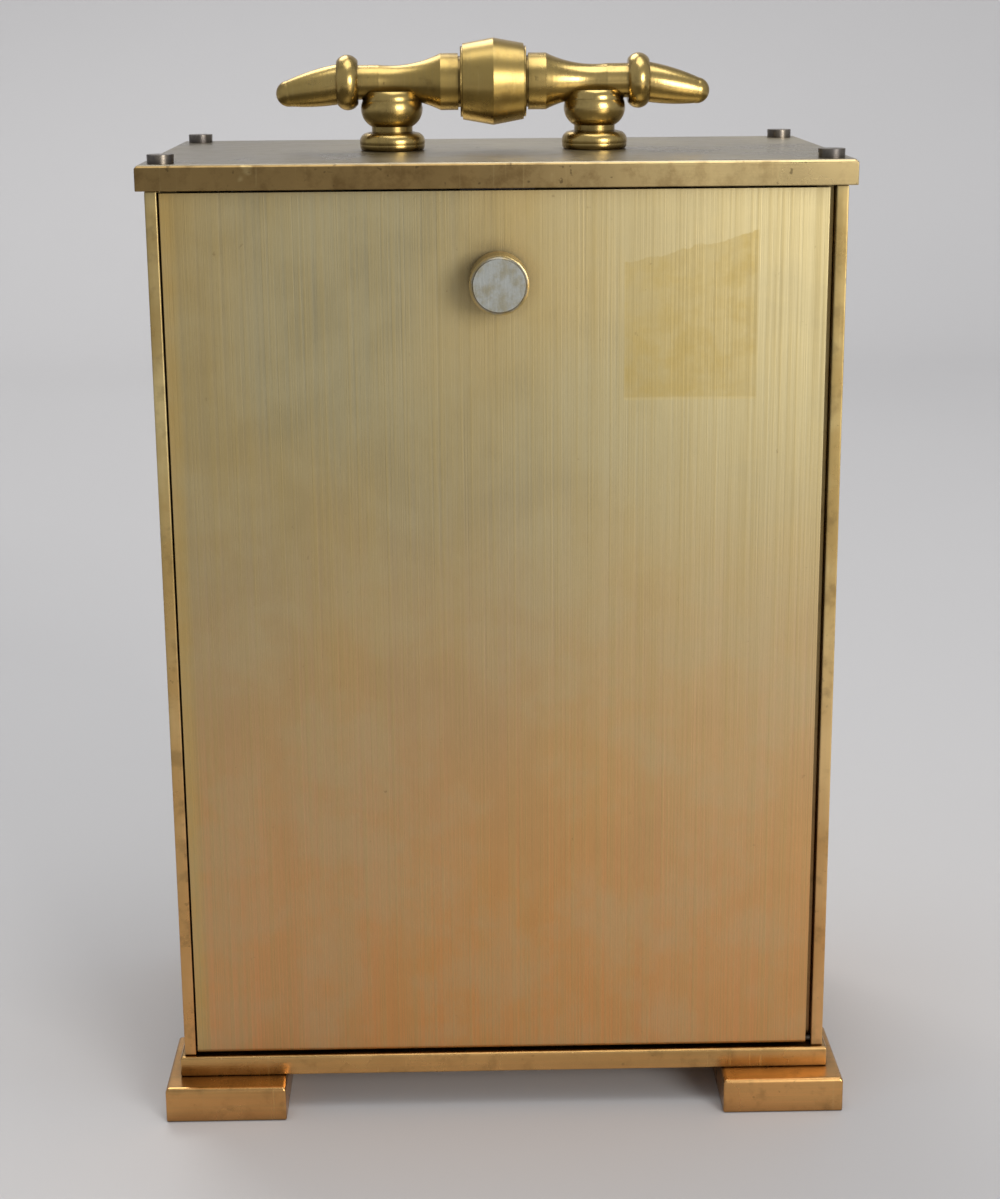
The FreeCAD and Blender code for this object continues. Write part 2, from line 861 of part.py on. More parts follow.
pillar_x = s.PlateHalfWidth - s.PillarInset
pillar_zs = (dial_z - s.PlateBelow + s.PillarInset, dial_z + s.PlateAbove - s.PillarInset)
front_plate_front = dial_back + s.MotionSpace
front_plate_back = front_plate_front + s.PlateThickness
back_plate_front = front_plate_back + s.PlateSpace
back_plate_back = back_plate_front + s.PlateThickness
hour_hand_back = dial_front - s.HandGap
minute_hand_back = hour_hand_back - s.HandThickness - s.HandGap


def dial_plate():
    body = new_body("dial_plate")
    across = half_width - s.BarWidth - s.DialSideGap
    sketch = new_sketch(body, "XZ", -dial_back)
    rectangle(sketch, -across, across, bezel_low, bezel_high)
    pad(body, sketch, s.DialThickness)
    holes = new_sketch(body, "XZ")
    circle(holes, 0, dial_z, s.DialHole)
    for side in (-1, 1):
        for z in post_zs:
            circle(holes, side * post_x, z, s.ScrewRadius * SHANK_SHARE + s.ThreadPlay)
        for z in pillar_zs:
            circle(holes, side * pillar_x, z, s.ScrewRadius * SHANK_SHARE + s.ThreadPlay)
    pocket(body, holes)


def dial_screw(x, y, z, head_side):
    """A small pan-head screw on a Y axis; y is the seat of its head."""
    radius = s.ScrewRadius * SHANK_SHARE
    head = rod("Y", radius * 2, s.ScrewHeadHeight / 2, x, y if head_side > 0 else y - s.ScrewHeadHeight / 2, z)
    length = s.DialThickness + s.PostRadius * 2 - 2 * s.FitGap
    stem = rod("Y", radius, length, x, y - length if head_side > 0 else y, z)
    return fuse([head, stem])


def dial_screws():
    screws = []
    for side in (-1, 1):
        screws += [dial_screw(side * post_x, dial_back, z, 1) for z in post_zs]
        screws += [dial_screw(side * pillar_x, dial_front, z, -1) for z in pillar_zs]
    node(group(screws), "dial_screws")


def hour_markers():
    """Twelve batons round the dial; the quarters are wider."""
    markers = []
    for hour in range(12):
        width = s.MarkerWidth * (1.6 if hour % 3 == 0 else 1)
        inner = s.MarkerRadius - s.MarkerLength
        marker = block(0, width, 0, s.MarkerThickness, 0, s.MarkerLength)
        angle = 30.0 * hour
        marker.Placement = Placement(Vector(), Rotation(Vector(0, 1, 0), angle))
        turn = Size(angle)
        across = -width / 2
        place(marker,
              across * cosine(turn) + inner * sine(turn),
              dial_front - s.MarkerThickness,
              dial_z - across * sine(turn) + inner * cosine(turn))
        markers.append(marker)
    node(group(markers), "hour_markers")


def hand(label, length, back, hole):
    """A leaf-shaped hand that points to twelve, with a round hub."""
    body = new_body(label)
    sketch = new_sketch(body, "XZ", -back)
    wide = s.HandWidth / 2
    outline(sketch, [
        (-s.HandWidth * 0.3, -s.HandHub * 2),
        (s.HandWidth * 0.3, -s.HandHub * 2),
        (wide * 0.5, 0),
        (wide, length * 0.6),
        (0, length),
        (-wide, length * 0.6),
        (-wide * 0.5, 0),
    ])
    pad(body, sketch, s.HandThickness)
    hub = new_sketch(body, "XZ", -back)
    circle(hub, 0, 0, s.HandHub)
    pad(body, hub, s.HandThickness)
    bore = new_sketch(body, "XZ")
    circle(bore, 0, 0, hole)
    pocket(body, bore)
    place(body, 0, 0, dial_z)


def hands():
    hand("hour_hand", s.HourHandLength, hour_hand_back, s.HourPipeRadius + s.ThreadPlay)
    hand("minute_hand", s.MinuteHandLength, minute_hand_back, s.CannonPipeRadius + s.ThreadPlay)
    nut = 0.9
    turned("hand_nut", [
        (0, 0),
        (0, s.HandHub * 0.75),
        (-nut * 0.6, s.HandHub * 0.75),
        (-nut, s.HandHub * 0.4),
        (-nut, 0),
    ], y=minute_hand_back - s.HandThickness, z=dial_z)


# ---------------------------------------------------------------- wheels

def mesh_distance(wheel_teeth, leaves, module):
    return (wheel_teeth + leaves) / 2 * module


GREAT_TEETH = 72
INTERMEDIATE_LEAVES = 12
WHEEL_TEETH = 64
THIRD_TEETH = 60
LEAVES = 8
CANNON_LEAVES = 12
MINUTE_TEETH = 36
MINUTE_LEAVES = 10
HOUR_TEETH = 40
ROOT_DEPTH = 1.25
RATCHET_TEETH = 24
ESCAPE_TEETH = 15

centre = (as_size(0), dial_z)
intermediate = polar(centre, mesh_distance(WHEEL_TEETH, LEAVES, s.IntermediateModule), s.IntermediateAngle)
barrel = polar(intermediate, mesh_distance(GREAT_TEETH, INTERMEDIATE_LEAVES, s.BarrelModule), s.BarrelAngle)
third = polar(centre, mesh_distance(WHEEL_TEETH, LEAVES, s.CentreModule), s.ThirdAngle)
fourth = polar(third, mesh_distance(THIRD_TEETH, LEAVES, s.ThirdModule), s.FourthAngle)
escape = polar(fourth, mesh_distance(WHEEL_TEETH, LEAVES, s.FourthModule), s.EscapeAngle)
pallet = polar(escape, s.PalletDistance, s.PalletAngle)
balance = polar(pallet, s.BalanceDistance, s.BalanceAngle)
minute_distance = mesh_distance(MINUTE_TEETH, CANNON_LEAVES, s.MotionModule)
minute = polar(centre, minute_distance, s.MinuteAngle)
setting = polar(minute, minute_distance, s.MinuteAngle)


def ring_points(radius, start, end, steps):
    """Points (x, z) along an arc, angles in radians."""
    return [(radius * math.cos(start + (end - start) * step / steps),
             radius * math.sin(start + (end - start) * step / steps)) for step in range(steps + 1)]


def wire(points, y):
    corners = [Vector(x, y, z) for x, z in points]
    return Part.makePolygon(corners + corners[:1])


def slab(loops, y, thickness):
    """A flat plate with an outer loop and any inner ones."""
    face = Part.makeFace([wire(loop, y) for loop in loops], "Part::FaceMakerBullseye")
    return face.extrude(Vector(0, thickness, 0))


def tooth_loop(teeth, module, addendum, dedendum, thickness, towards, gap):
    """Straight-sided teeth; a tooth, or a gap, is centred on a direction in degrees."""
    pitch = 2 * math.pi / teeth
    radius = teeth * module / 2
    first = math.radians(towards) + (pitch / 2 if gap else 0)
    loop = []
    for number in range(teeth):
        middle = first + number * pitch
        for level, share in ((-dedendum, thickness), (0, thickness), (addendum, thickness * 0.35)):
            loop.append((radius + level * module, middle - share * pitch / 2))
        for level, share in ((addendum, thickness * 0.35), (0, thickness), (-dedendum, thickness)):
            loop.append((radius + level * module, middle + share * pitch / 2))
    return [(r * math.cos(angle), r * math.sin(angle)) for r, angle in loop]


def wheel_loop(teeth, module, towards):
    return tooth_loop(teeth, module, 0.95, ROOT_DEPTH, 0.40, towards, False)


def pinion_loop(leaves, module, towards):
    return tooth_loop(leaves, module, 0.55, 1.35, 0.34, towards, True)


def bore_loop(radius, sides=24):
    """A polygon that just clears a round arbor."""
    outer = radius / math.cos(math.pi / sides)
    return ring_points(outer, 0, 2 * math.pi, sides)[:-1]


def crossing_loops(hub, rim, arms=5, width=1.4):
    """Windows between the arms of a wheel."""
    loops = []
    for number in range(arms):
        start = 2 * math.pi * number / arms
        end = start + 2 * math.pi / arms
        outer = ring_points(rim, start + width / 2 / rim, end - width / 2 / rim, 6)
        inner = ring_points(hub, end - width / 2 / hub, start + width / 2 / hub, 3)
        loops.append(outer + inner)
    return loops


def feature(label, shape, spot):
    """A piece whose shape is worked out in code about its own axis, then placed."""
    item = doc.addObject("Part::Feature", "Solid")
    item.Shape = shape
    place(item, spot[0], 0, spot[1])
    return node(item, label) if label else item


def wheel(label, teeth, module, spot, rear, thickness, bore, towards):
    """A crossed-out wheel; rear is the level of its rear face."""
    radius = teeth * module.value / 2
    hub = bore.value + 1.6
    rim = radius - ROOT_DEPTH * module.value - 1.3
    loops = [wheel_loop(teeth, module.value, towards), bore_loop(bore.value + BORE_EASE)]
    if rim - hub > 2:
        loops += crossing_loops(hub, rim)
    y = (rear - thickness).value
    return feature(label, slab(loops, y, thickness.value), spot)


def pinion(leaves, module, spot, middle, length, bore, towards):
    loops = [pinion_loop(leaves, module.value, towards), bore_loop(bore.value + BORE_EASE)]
    y = (middle - length / 2).value
    return feature("", slab(loops, y, length.value), spot)


def arbor(spot, radius):
    """A shaft between the movement plates with a thinner pivot in each."""
    low = front_plate_back + s.PivotPlay
    high = back_plate_front - s.PivotPlay
    body = rod("Y", radius, high - low, spot[0], low, spot[1])
    front = rod("Y", s.PivotRadius, s.PlateThickness, spot[0], low - s.PlateThickness, spot[1])
    rear = rod("Y", s.PivotRadius, s.PlateThickness, spot[0], high, spot[1])
    return fuse([front, body, rear])


wheel_rear = {
    "great": back_plate_front - s.GreatWheelAt,
    "intermediate": back_plate_front - s.IntermediateWheelAt,
    "centre": back_plate_front - s.CentreWheelAt,
    "third": back_plate_front - s.ThirdWheelAt,
    "fourth": back_plate_front - s.FourthWheelAt,
    "escape": back_plate_front - s.EscapeWheelAt,
}


def middle_of(name, thickness):
    return wheel_rear[name] - thickness / 2


def going_train():
    """Wheels and pinions from the barrel to the escape wheel, front to back on four arbors."""
    thick = s.WheelThickness
    arbor_bore = s.ArborRadius
    rows = (
        ("intermediate", intermediate, WHEEL_TEETH, s.IntermediateModule, s.IntermediateAngle.value + 180,
         INTERMEDIATE_LEAVES, s.BarrelModule, "great", s.GreatWheelThickness, s.BarrelAngle.value),
        ("third", third, THIRD_TEETH, s.ThirdModule, s.FourthAngle.value,
         LEAVES, s.CentreModule, "centre", thick, s.ThirdAngle.value + 180),
        ("fourth", fourth, WHEEL_TEETH, s.FourthModule, s.EscapeAngle.value,
         LEAVES, s.ThirdModule, "third", thick, s.FourthAngle.value + 180),
    )
    for name, spot, teeth, module, ahead, leaves, leaf_module, driver, driver_thick, behind in rows:
        wheel(f"{name}_wheel", teeth, module, spot, wheel_rear[name], thick, arbor_bore, ahead)
        leaf_block = pinion(leaves, leaf_module, spot, middle_of(driver, driver_thick), s.PinionLength,
                            arbor_bore, behind)
        node(group([leaf_block, arbor(spot, s.ArborRadius)]), f"{name}_pinion")
    escape_leaves = pinion(LEAVES, s.FourthModule, escape, middle_of("fourth", thick), s.PinionLength,
                           s.PivotRadius, s.EscapeAngle.value + 180)
    node(group([escape_leaves, arbor(escape, s.PivotRadius)]), "escape_pinion")
    wheel("great_wheel", GREAT_TEETH, s.BarrelModule, barrel, wheel_rear["great"], s.GreatWheelThickness,
          s.BarrelArborRadius + s.RunPlay, s.BarrelAngle.value + 180)
    centre_group()


def centre_group():
    wheel("centre_wheel", WHEEL_TEETH, s.CentreModule, centre, wheel_rear["centre"], s.WheelThickness,
          s.CentreArborRadius, s.ThirdAngle.value)
    leaf_block = pinion(LEAVES, s.IntermediateModule, centre, middle_of("intermediate", s.WheelThickness),
                        s.PinionLength, s.PivotRadius, s.IntermediateAngle.value)
    low = minute_hand_back - s.HandThickness
    step = middle_of("intermediate", s.WheelThickness) - s.PinionLength / 2
    step_up = step + s.PinionLength
    high = back_plate_front - s.PivotPlay
    front = rod("Y", s.CentreArborRadius, step - low, 0, low, dial_z)
    inner = rod("Y", s.PivotRadius, s.PinionLength, 0, step, dial_z)
    rear = rod("Y", s.CentreArborRadius, high - step_up, 0, step_up, dial_z)
    pivot = rod("Y", s.PivotRadius, s.PlateThickness, 0, high, dial_z)
    node(group([leaf_block, fuse([front, inner, rear, pivot])]), "centre_arbor")


def escape_wheel():
    """Fifteen pointed teeth on a thin rim."""
    outer = s.EscapeRadius.value
    pitch = 2 * math.pi / ESCAPE_TEETH
    loop = []
    for number in range(ESCAPE_TEETH):
        root = outer - 1.6
        at = number * pitch
        for radius, turn in ((root, 0), (outer, 0.30), (outer, 0.40), (root, 0.45)):
            loop.append((radius * math.cos(at + turn * pitch), radius * math.sin(at + turn * pitch)))
    hub = s.PivotRadius.value + 1.1
    loops = [loop, bore_loop(s.PivotRadius.value + BORE_EASE)]
    loops += crossing_loops(hub, outer - 2.5, 4, 0.9)
    y = (wheel_rear["escape"] - s.WheelThickness).value
    feature("escape_wheel", slab(loops, y, s.WheelThickness.value), escape)


# ---------------------------------------------------------------- barrel

def mainspring_barrel():
    drum_back = wheel_rear["great"] - s.GreatWheelThickness
    drum_front = front_plate_back + s.DrumGap
    bore = s.BarrelArborRadius + s.RunPlay
    drum = (GREAT_TEETH / 2 - ROOT_DEPTH) * s.BarrelModule - s.DrumLedge
    turned("barrel_drum", [
        (drum_front, bore),
        (drum_front, drum),
        (drum_back, drum),
        (drum_back, drum - s.DrumWall),
        (drum_front + s.DrumWall, drum - s.DrumWall),
        (drum_front + s.DrumWall, bore),
    ], x=barrel[0], z=barrel[1])
    low = front_plate_front
    high = key_front - s.RunPlay
    radius = s.BarrelArborRadius
    turned("barrel_arbor", [
        (low, 0),
        (high + s.KeyHeight / 2, 0),
        (high + s.KeyHeight / 2, radius * 0.7),
        (high, radius * 0.7),
        (high, radius),
        (drum_back - 2 * s.RunPlay, radius),
        (drum_back - 2 * s.RunPlay, s.BarrelCoreRadius),
        (drum_front + s.DrumWall + 2 * s.RunPlay, s.BarrelCoreRadius),
        (drum_front + s.DrumWall + 2 * s.RunPlay, radius),
        (low, radius),
    ], x=barrel[0], z=barrel[1])
    spiral("mainspring", barrel, s.BarrelCoreRadius.value + 2.2, (drum - s.DrumWall).value - 0.2, 9, 0.4,
           (drum_front + s.DrumWall).value + 0.4, (drum_back - drum_front - s.DrumWall).value - 0.8)


def spiral(label, spot, inner, outer, turns, thickness, y, width):
    """A flat ribbon wound from an inner to an outer radius."""
    steps = turns * 24
    path = [(inner + (outer - inner) * step / steps, 2 * math.pi * turns * step / steps)
            for step in range(steps + 1)]
    out = [(r * math.cos(turn), r * math.sin(turn)) for r, turn in path]
    back = [((r - thickness) * math.cos(turn), (r - thickness) * math.sin(turn)) for r, turn in path[::-1]]
    feature(label, slab([out + back], y, width), spot)


ratchet_front = back_plate_back + s.RatchetGap
key_front = door_inner_y - s.KeyDoorGap - s.KeyHeight


def winding_work():
    """Ratchet wheel on the barrel arbor, its click and spring, and the key."""
    outer = s.RatchetRadius.value
    pitch = 2 * math.pi / RATCHET_TEETH
    loop = []
    for number in range(RATCHET_TEETH):
        at = number * pitch
        for radius, turn in ((outer - RATCHET_DEPTH, 0.02), (outer, 0.12), (outer, 0.22), (outer - RATCHET_DEPTH, 0.98)):
            loop.append((radius * math.cos(at + turn * pitch), radius * math.sin(at + turn * pitch)))
    bore = bore_loop(s.BarrelArborRadius.value + BORE_EASE)
    feature("ratchet_wheel", slab([loop, bore], ratchet_front.value, s.RatchetThickness.value), barrel)
    stud_bore = bore_loop(s.ClickStudRadius.value + s.RunPlay.value)
    click = slab([CLICK_OUTLINE, stud_bore], ratchet_front.value, s.RatchetThickness.value)
    feature("ratchet_click", click, click_spot)
    spring = slab([SPRING_OUTLINE], back_plate_back.value, s.RatchetThickness.value + s.RatchetGap.value)
    feature("click_spring", spring, click_spot)
    winding_key()


click_spot = (barrel[0] + s.RatchetRadius + s.ClickGap, barrel[1] - s.ClickDrop)


def winding_key():
    """A butterfly key with a round socket over the end of the barrel arbor."""
    start = key_front
    socket = s.BarrelArborRadius * 1.35
    hole = s.BarrelArborRadius * 0.7 + s.ThreadPlay
    pipe = cut(rod("Y", socket, s.KeyHeight * 0.62, barrel[0], start, barrel[1]),
               [rod("Y", hole, s.KeyHeight / 2, barrel[0], start - s.RunPlay, barrel[1])])
    half = s.KeyThickness / 2
    low = start + s.KeyHeight * 0.5
    wing = block(barrel[0] - half, barrel[0] + half, low, start + s.KeyHeight,
                 barrel[1] - s.KeySpan / 2, barrel[1] + s.KeySpan / 2)
    key = fuse([pipe, wing])
    rounded = doc.addObject("Part::Fillet", "RoundedKey")
    rounded.Base = key
    doc.recompute()
    top = (start + s.KeyHeight).value
    picks = [number for number, edge in enumerate(key.Shape.Edges, start=1)
             if isinstance(edge.Curve, Part.Line) and abs(edge.Length - s.KeyThickness.value) < 0.001
             and edge.CenterOfMass.y > top - 0.01]
    rounded.Edges = [(number, 3.0, 3.0) for number in picks]
    node(rounded, "winding_key")


# ---------------------------------------------------------------- escapement and balance

def bar_slab(start, end, width, y, thickness):
    """A straight bar between two (x, z) points."""
    run = Vector(end[0] - start[0], 0, end[1] - start[1])
    across = Vector(-run.z, 0, run.x).normalize() * (width / 2)
    loop = [(start[0] + across.x, start[1] + across.z), (end[0] + across.x, end[1] + across.z),
            (end[0] - across.x, end[1] - across.z), (start[0] - across.x, start[1] - across.z)]
    return slab([loop], y, thickness)


def pallet_lever():
    """The lever, drawn with both pallets lifted clear of the escape wheel."""
    thick = s.WheelThickness.value
    y = (wheel_rear["escape"] - s.WheelThickness).value
    reach = s.EscapeRadius.value + s.PalletLift.value
    outwards = math.radians(s.PalletAngle.value)
    distance = s.PalletDistance.value
    fork = s.BalanceDistance.value - s.ForkGap.value
    to_balance = math.radians(s.BalanceAngle.value)
    parts = [slab([bore_loop(1.6)], y, thick)]
    for sign in (-1, 1):
        angle = outwards + sign * math.radians(s.PalletSpread.value)
        tip = [reach * turn(angle) - distance * turn(outwards) for turn in (math.cos, math.sin)]
        back = [(reach + 2.6) * turn(angle) - distance * turn(outwards) for turn in (math.cos, math.sin)]
        parts.append(bar_slab(tip, back, 1.0, y, thick))
        parts.append(bar_slab((0, 0), back, 1.2, y, thick))
    horns = [(fork - 1.6) * turn(to_balance) for turn in (math.cos, math.sin)]
    parts.append(bar_slab((0, 0), horns, 1.1, y, thick))
    for sign in (-1, 1):
        horn = [fork * turn(to_balance + sign * 0.13) for turn in (math.cos, math.sin)]
        parts.append(bar_slab(horns, horn, 0.7, y, thick))
    whole = parts[0].fuse(parts[1:]).removeSplitter()
    plate = whole.cut(slab([bore_loop(s.PivotRadius.value + BORE_EASE)], y, thick))
    lever = feature("", plate, pallet)
    node(group([lever, arbor(pallet, s.PivotRadius)]), "pallet_lever")


def balance_assembly():
    """Balance wheel on a staff that reaches the front plate, hairspring and cock."""
    x, z = balance
    start = back_plate_back + s.BalanceStart
    rim = cut(rod("Y", s.BalanceRadius, s.BalanceThickness, x, start, z),
              [rod("Y", s.BalanceRadius - s.BalanceRim, s.BalanceThickness, x, start, z)])
    half = s.BalanceRim / 2
    inner = s.BalanceRadius - half
    spoke = block(x - inner, x + inner, start, start + s.BalanceThickness, z - half, z + half)
    hub = rod("Y", s.BalanceRim, s.BalanceThickness, x, start, z)
    low = front_plate_back + s.PivotPlay
    high = back_plate_back + s.CockStart - s.PivotPlay
    staff = rod("Y", s.PivotRadius, high - low + s.PlateThickness + s.CockThickness / 2, x,
                low - s.PlateThickness, z)
    roller_rear = wheel_rear["escape"] - s.WheelThickness - s.HandGap
    roller = rod("Y", s.BalanceRim * ROLLER_SHARE, s.WheelThickness, x, roller_rear - s.WheelThickness, z)
    node(fuse([rim, spoke, hub, staff, roller]), "balance_wheel")
    spiral("hairspring", balance, 1.2, s.BalanceRadius.value * 0.62, 7, 0.15,
           (start + s.BalanceThickness).value + 0.6, 0.5)
    arm_low = back_plate_back + s.CockStart
    foot_x = x + s.CockReach
    width = s.BalanceRim * 2
    arm = block(x - width, foot_x + width, arm_low, arm_low + s.CockThickness, z - width, z + width)
    foot = block(foot_x - width, foot_x + width, back_plate_back, arm_low, z - width, z + width)
    jewel = rod("Y", s.PivotRadius + s.PivotPlay, s.CockThickness, x, arm_low, z)
    bolt = rod("Y", s.ScrewRadius * SHANK_SHARE + s.ThreadPlay, s.CockStart + s.CockThickness, foot_x,
               back_plate_back, z)
    node(cut(fuse([arm, foot]), [jewel, bolt]), "balance_cock")


# ---------------------------------------------------------------- plates and motion work

def movement_plate(label, front, holes):
    body = new_body(label)
    sketch = new_sketch(body, "XZ", -front - s.PlateThickness)
    rectangle(sketch, -s.PlateHalfWidth, s.PlateHalfWidth, dial_z - s.PlateBelow, dial_z + s.PlateAbove)
    pad(body, sketch, s.PlateThickness)
    bores = new_sketch(body, "XZ")
    for x, z, radius in holes:
        circle(bores, x, z, radius)
    pocket(body, bores)


def movement_frame():
    pivot = s.PivotRadius + s.PivotPlay
    shared = [(*spot, pivot) for spot in (intermediate, third, fourth, escape, pallet)]
    shared.append((*barrel, s.BarrelArborRadius + s.RunPlay))
    shared.append((*setting, s.ArborRadius + s.RunPlay))
    shared += [(side * pillar_x, z, s.SpigotRadius + s.ThreadPlay) for side in (-1, 1) for z in pillar_zs]
    front_only = [(*centre, s.CentreArborRadius + s.RunPlay), (*balance, pivot),
                  (*minute, s.ArborRadius + s.ThreadPlay)]
    cock_foot = (balance[0] + s.CockReach, balance[1])
    rear_only = [(*centre, pivot), (*balance, s.BalanceRim * ROLLER_SHARE + 0.4),
                 (*click_spot, s.ClickStudRadius + s.ThreadPlay),
                 (*cock_foot, s.ScrewRadius * SHANK_SHARE + s.ThreadPlay)]
    movement_plate("movement_front_plate", front_plate_front, shared + front_only)
    movement_plate("movement_back_plate", back_plate_front, shared + rear_only)
    pillars = []
    nuts = []
    for side in (-1, 1):
        for z in pillar_zs:
            x = side * pillar_x
            between = rod("Y", s.PillarRadius, s.PlateSpace, x, front_plate_back, z)
            front = rod("Y", s.SpigotRadius, s.PlateThickness + s.MotionSpace, x, dial_back, z)
            rear = rod("Y", s.SpigotRadius, s.PlateThickness + s.NutHeight, x, back_plate_front, z)
            tapped = rod("Y", s.ScrewRadius * SHANK_SHARE + s.ThreadPlay, s.MotionSpace, x, dial_back, z)
            pillars.append(cut(fuse([front, between, rear]), [tapped]))
            nuts.append(plate_nut(x, z))
    node(group(pillars), "movement_pillars")
    node(group(nuts), "pillar_nuts")


def plate_nut(x, z):
    """A hexagon nut on a pillar's rear spigot."""
    hexagon = doc.addObject("Part::Prism", "Hexagon")
    hexagon.Polygon = 6
    bind(hexagon, "Circumradius", s.NutRadius)
    bind(hexagon, "Height", s.NutHeight)
    hexagon.Placement = Placement(Vector(), ALONG["Y"])
    place(hexagon, x, back_plate_back, z)
    return cut(hexagon, [rod("Y", s.SpigotRadius + s.ThreadPlay, s.NutHeight, x, back_plate_back, z)])


def movement_studs():
    """Studs for the click and the minute wheel, and the screw of the balance cock."""
    x, z = click_spot
    top = ratchet_front + s.RatchetThickness + s.RunPlay
    stud = rod("Y", s.ClickStudRadius, top - back_plate_front, x, back_plate_front, z)
    stud_head = rod("Y", s.ClickStudRadius * 2, s.ScrewHeadHeight / 2, x, top, z)
    foot_x = balance[0] + s.CockReach
    seat = back_plate_back + s.CockStart + s.CockThickness
    bolt = rod("Y", s.ScrewRadius * SHANK_SHARE, seat - back_plate_front, foot_x, back_plate_front, balance[1])
    bolt_head = rod("Y", s.ScrewHeadRadius, s.ScrewHeadHeight, foot_x, seat, balance[1])
    low = dial_back + s.FitGap * 8
    post = rod("Y", s.ArborRadius, front_plate_back - low, minute[0], low, minute[1])
    node(group([fuse([stud, stud_head]), fuse([bolt, bolt_head]), post]), "movement_studs")


def motion_work():
    """Cannon pinion, minute wheel and hour wheel under the dial, turned by the setting arbor."""
    thick = s.WheelThickness
    level = front_plate_front - s.MotionWheelAt
    hour_level = front_plate_front - s.HourWheelAt
    hour_module = minute_distance / ((HOUR_TEETH + MINUTE_LEAVES) / 2)
    middle = level - thick / 2
    cannon = pinion(CANNON_LEAVES, s.MotionModule, centre, middle, thick * 1.4, s.CannonPipeRadius,
                    s.MinuteAngle.value + 180)
    # the cannon pinion's leaves face the minute wheel across a tooth gap
    pipe_low = minute_hand_back - s.HandThickness
    pipe = cut(rod("Y", s.CannonPipeRadius, front_plate_front - s.RunPlay * 2 - pipe_low, 0, pipe_low, dial_z),
               [rod("Y", s.CentreArborRadius + s.RunPlay, front_plate_front - pipe_low, 0, pipe_low, dial_z)])
    node(group([cannon, pipe]), "cannon_pinion")
    post_bore = s.ArborRadius + s.RunPlay
    minute_plate = wheel("", MINUTE_TEETH, s.MotionModule, minute, level, thick, post_bore,
                         s.MinuteAngle.value + 180)
    minute_leaves = pinion(MINUTE_LEAVES, hour_module, minute, hour_level - thick / 2, thick, post_bore,
                           s.MinuteAngle.value + 180)
    node(group([minute_plate, minute_leaves]), "minute_wheel")
    hour_plate = wheel("", HOUR_TEETH, hour_module, centre, hour_level, thick, s.HourPipeRadius,
                       s.MinuteAngle.value)
    low = hour_hand_back - s.HandThickness
    high = hour_level + s.RunPlay
    hour_pipe = cut(rod("Y", s.HourPipeRadius, high - low, 0, low, dial_z),
                    [rod("Y", s.CannonPipeRadius + s.RunPlay, high - low, 0, low, dial_z)])
    node(group([hour_plate, hour_pipe]), "hour_wheel")
    setting_work(middle)


def setting_work(middle):
    thick = s.WheelThickness
    x, z = setting
    low = middle - thick
    high = door_inner_y - s.KnobDoorGap - s.SettingKnobLength
    shaft = rod("Y", s.ArborRadius, high - low, x, low, z)
    leaves = pinion(CANNON_LEAVES, s.MotionModule, setting, middle, thick * 1.4, s.ArborRadius,
                    s.MinuteAngle.value + 180)
    node(group([leaves, shaft]), "setting_arbor")
    knob = s.SettingKnobRadius
    turned("setting_knob", [
        (0, 0),
        (s.SettingKnobLength, 0),
        (s.SettingKnobLength, knob - 0.5),
        (s.SettingKnobLength - 0.5, knob),
        (s.SettingKnobLength * 0.4, knob),
        (s.SettingKnobLength * 0.3, knob * 0.5),
        (0, knob * 0.5),
    ], x=x, y=high, z=z)


# ---------------------------------------------------------------- build

for build in (base_plate, feet, case_screws, corner_bars, side_panels, top_plate, back_door,
              door_hinge_pins, door_knob, door_catch_spring, front_bezel, front_glass, handle,
              dial_plate, dial_screws, hour_markers, hands, going_train, escape_wheel,
              mainspring_barrel, winding_work, pallet_lever, balance_assembly, movement_frame,
              movement_studs, motion_work):
    build()
doc.recompute()

for item in doc.Objects:
    if "Invalid" in item.State or "Error" in item.State:
        raise RuntimeError(f"{item.Name} ({item.Label}) failed: {item.State}")
for item in NODES:
    if item.Shape.isNull() or not item.Shape.isValid():
        raise RuntimeError(f"{item.Label} has no valid shape")
    item.Shape.exportStep(f"parts/{item.Label}.step")
print(len(NODES), "pieces written")
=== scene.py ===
import json
import math

import bpy
from mathutils import Matrix, Vector

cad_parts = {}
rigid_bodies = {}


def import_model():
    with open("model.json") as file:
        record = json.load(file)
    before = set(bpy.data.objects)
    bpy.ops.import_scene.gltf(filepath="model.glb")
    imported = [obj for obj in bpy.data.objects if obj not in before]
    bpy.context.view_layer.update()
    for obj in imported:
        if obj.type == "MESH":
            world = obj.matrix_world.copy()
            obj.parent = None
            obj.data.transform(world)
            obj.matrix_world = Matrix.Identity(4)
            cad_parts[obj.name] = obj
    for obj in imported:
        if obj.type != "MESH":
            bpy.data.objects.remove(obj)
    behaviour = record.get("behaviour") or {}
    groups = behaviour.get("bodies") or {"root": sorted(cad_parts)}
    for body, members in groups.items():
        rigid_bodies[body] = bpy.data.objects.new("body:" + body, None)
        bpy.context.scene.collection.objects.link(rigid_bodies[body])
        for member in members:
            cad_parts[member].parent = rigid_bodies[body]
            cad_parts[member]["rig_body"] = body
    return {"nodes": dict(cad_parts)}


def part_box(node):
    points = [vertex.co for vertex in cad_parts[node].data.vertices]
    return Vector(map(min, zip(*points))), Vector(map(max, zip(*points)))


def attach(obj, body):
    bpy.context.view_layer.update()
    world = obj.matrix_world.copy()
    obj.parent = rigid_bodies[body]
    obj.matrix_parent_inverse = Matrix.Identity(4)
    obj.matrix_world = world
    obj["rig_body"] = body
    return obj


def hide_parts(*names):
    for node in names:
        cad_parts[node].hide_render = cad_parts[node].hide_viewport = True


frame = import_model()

NODES = frame["nodes"]
BODY_OF = {name: node["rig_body"] for name, node in NODES.items()}
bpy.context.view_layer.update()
MM = 0.001


def middle(name):
    """A node's middle, across and up: where the axis of a turned piece is."""
    low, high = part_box(name)
    return (low.x + high.x) / 2, (low.z + high.z) / 2


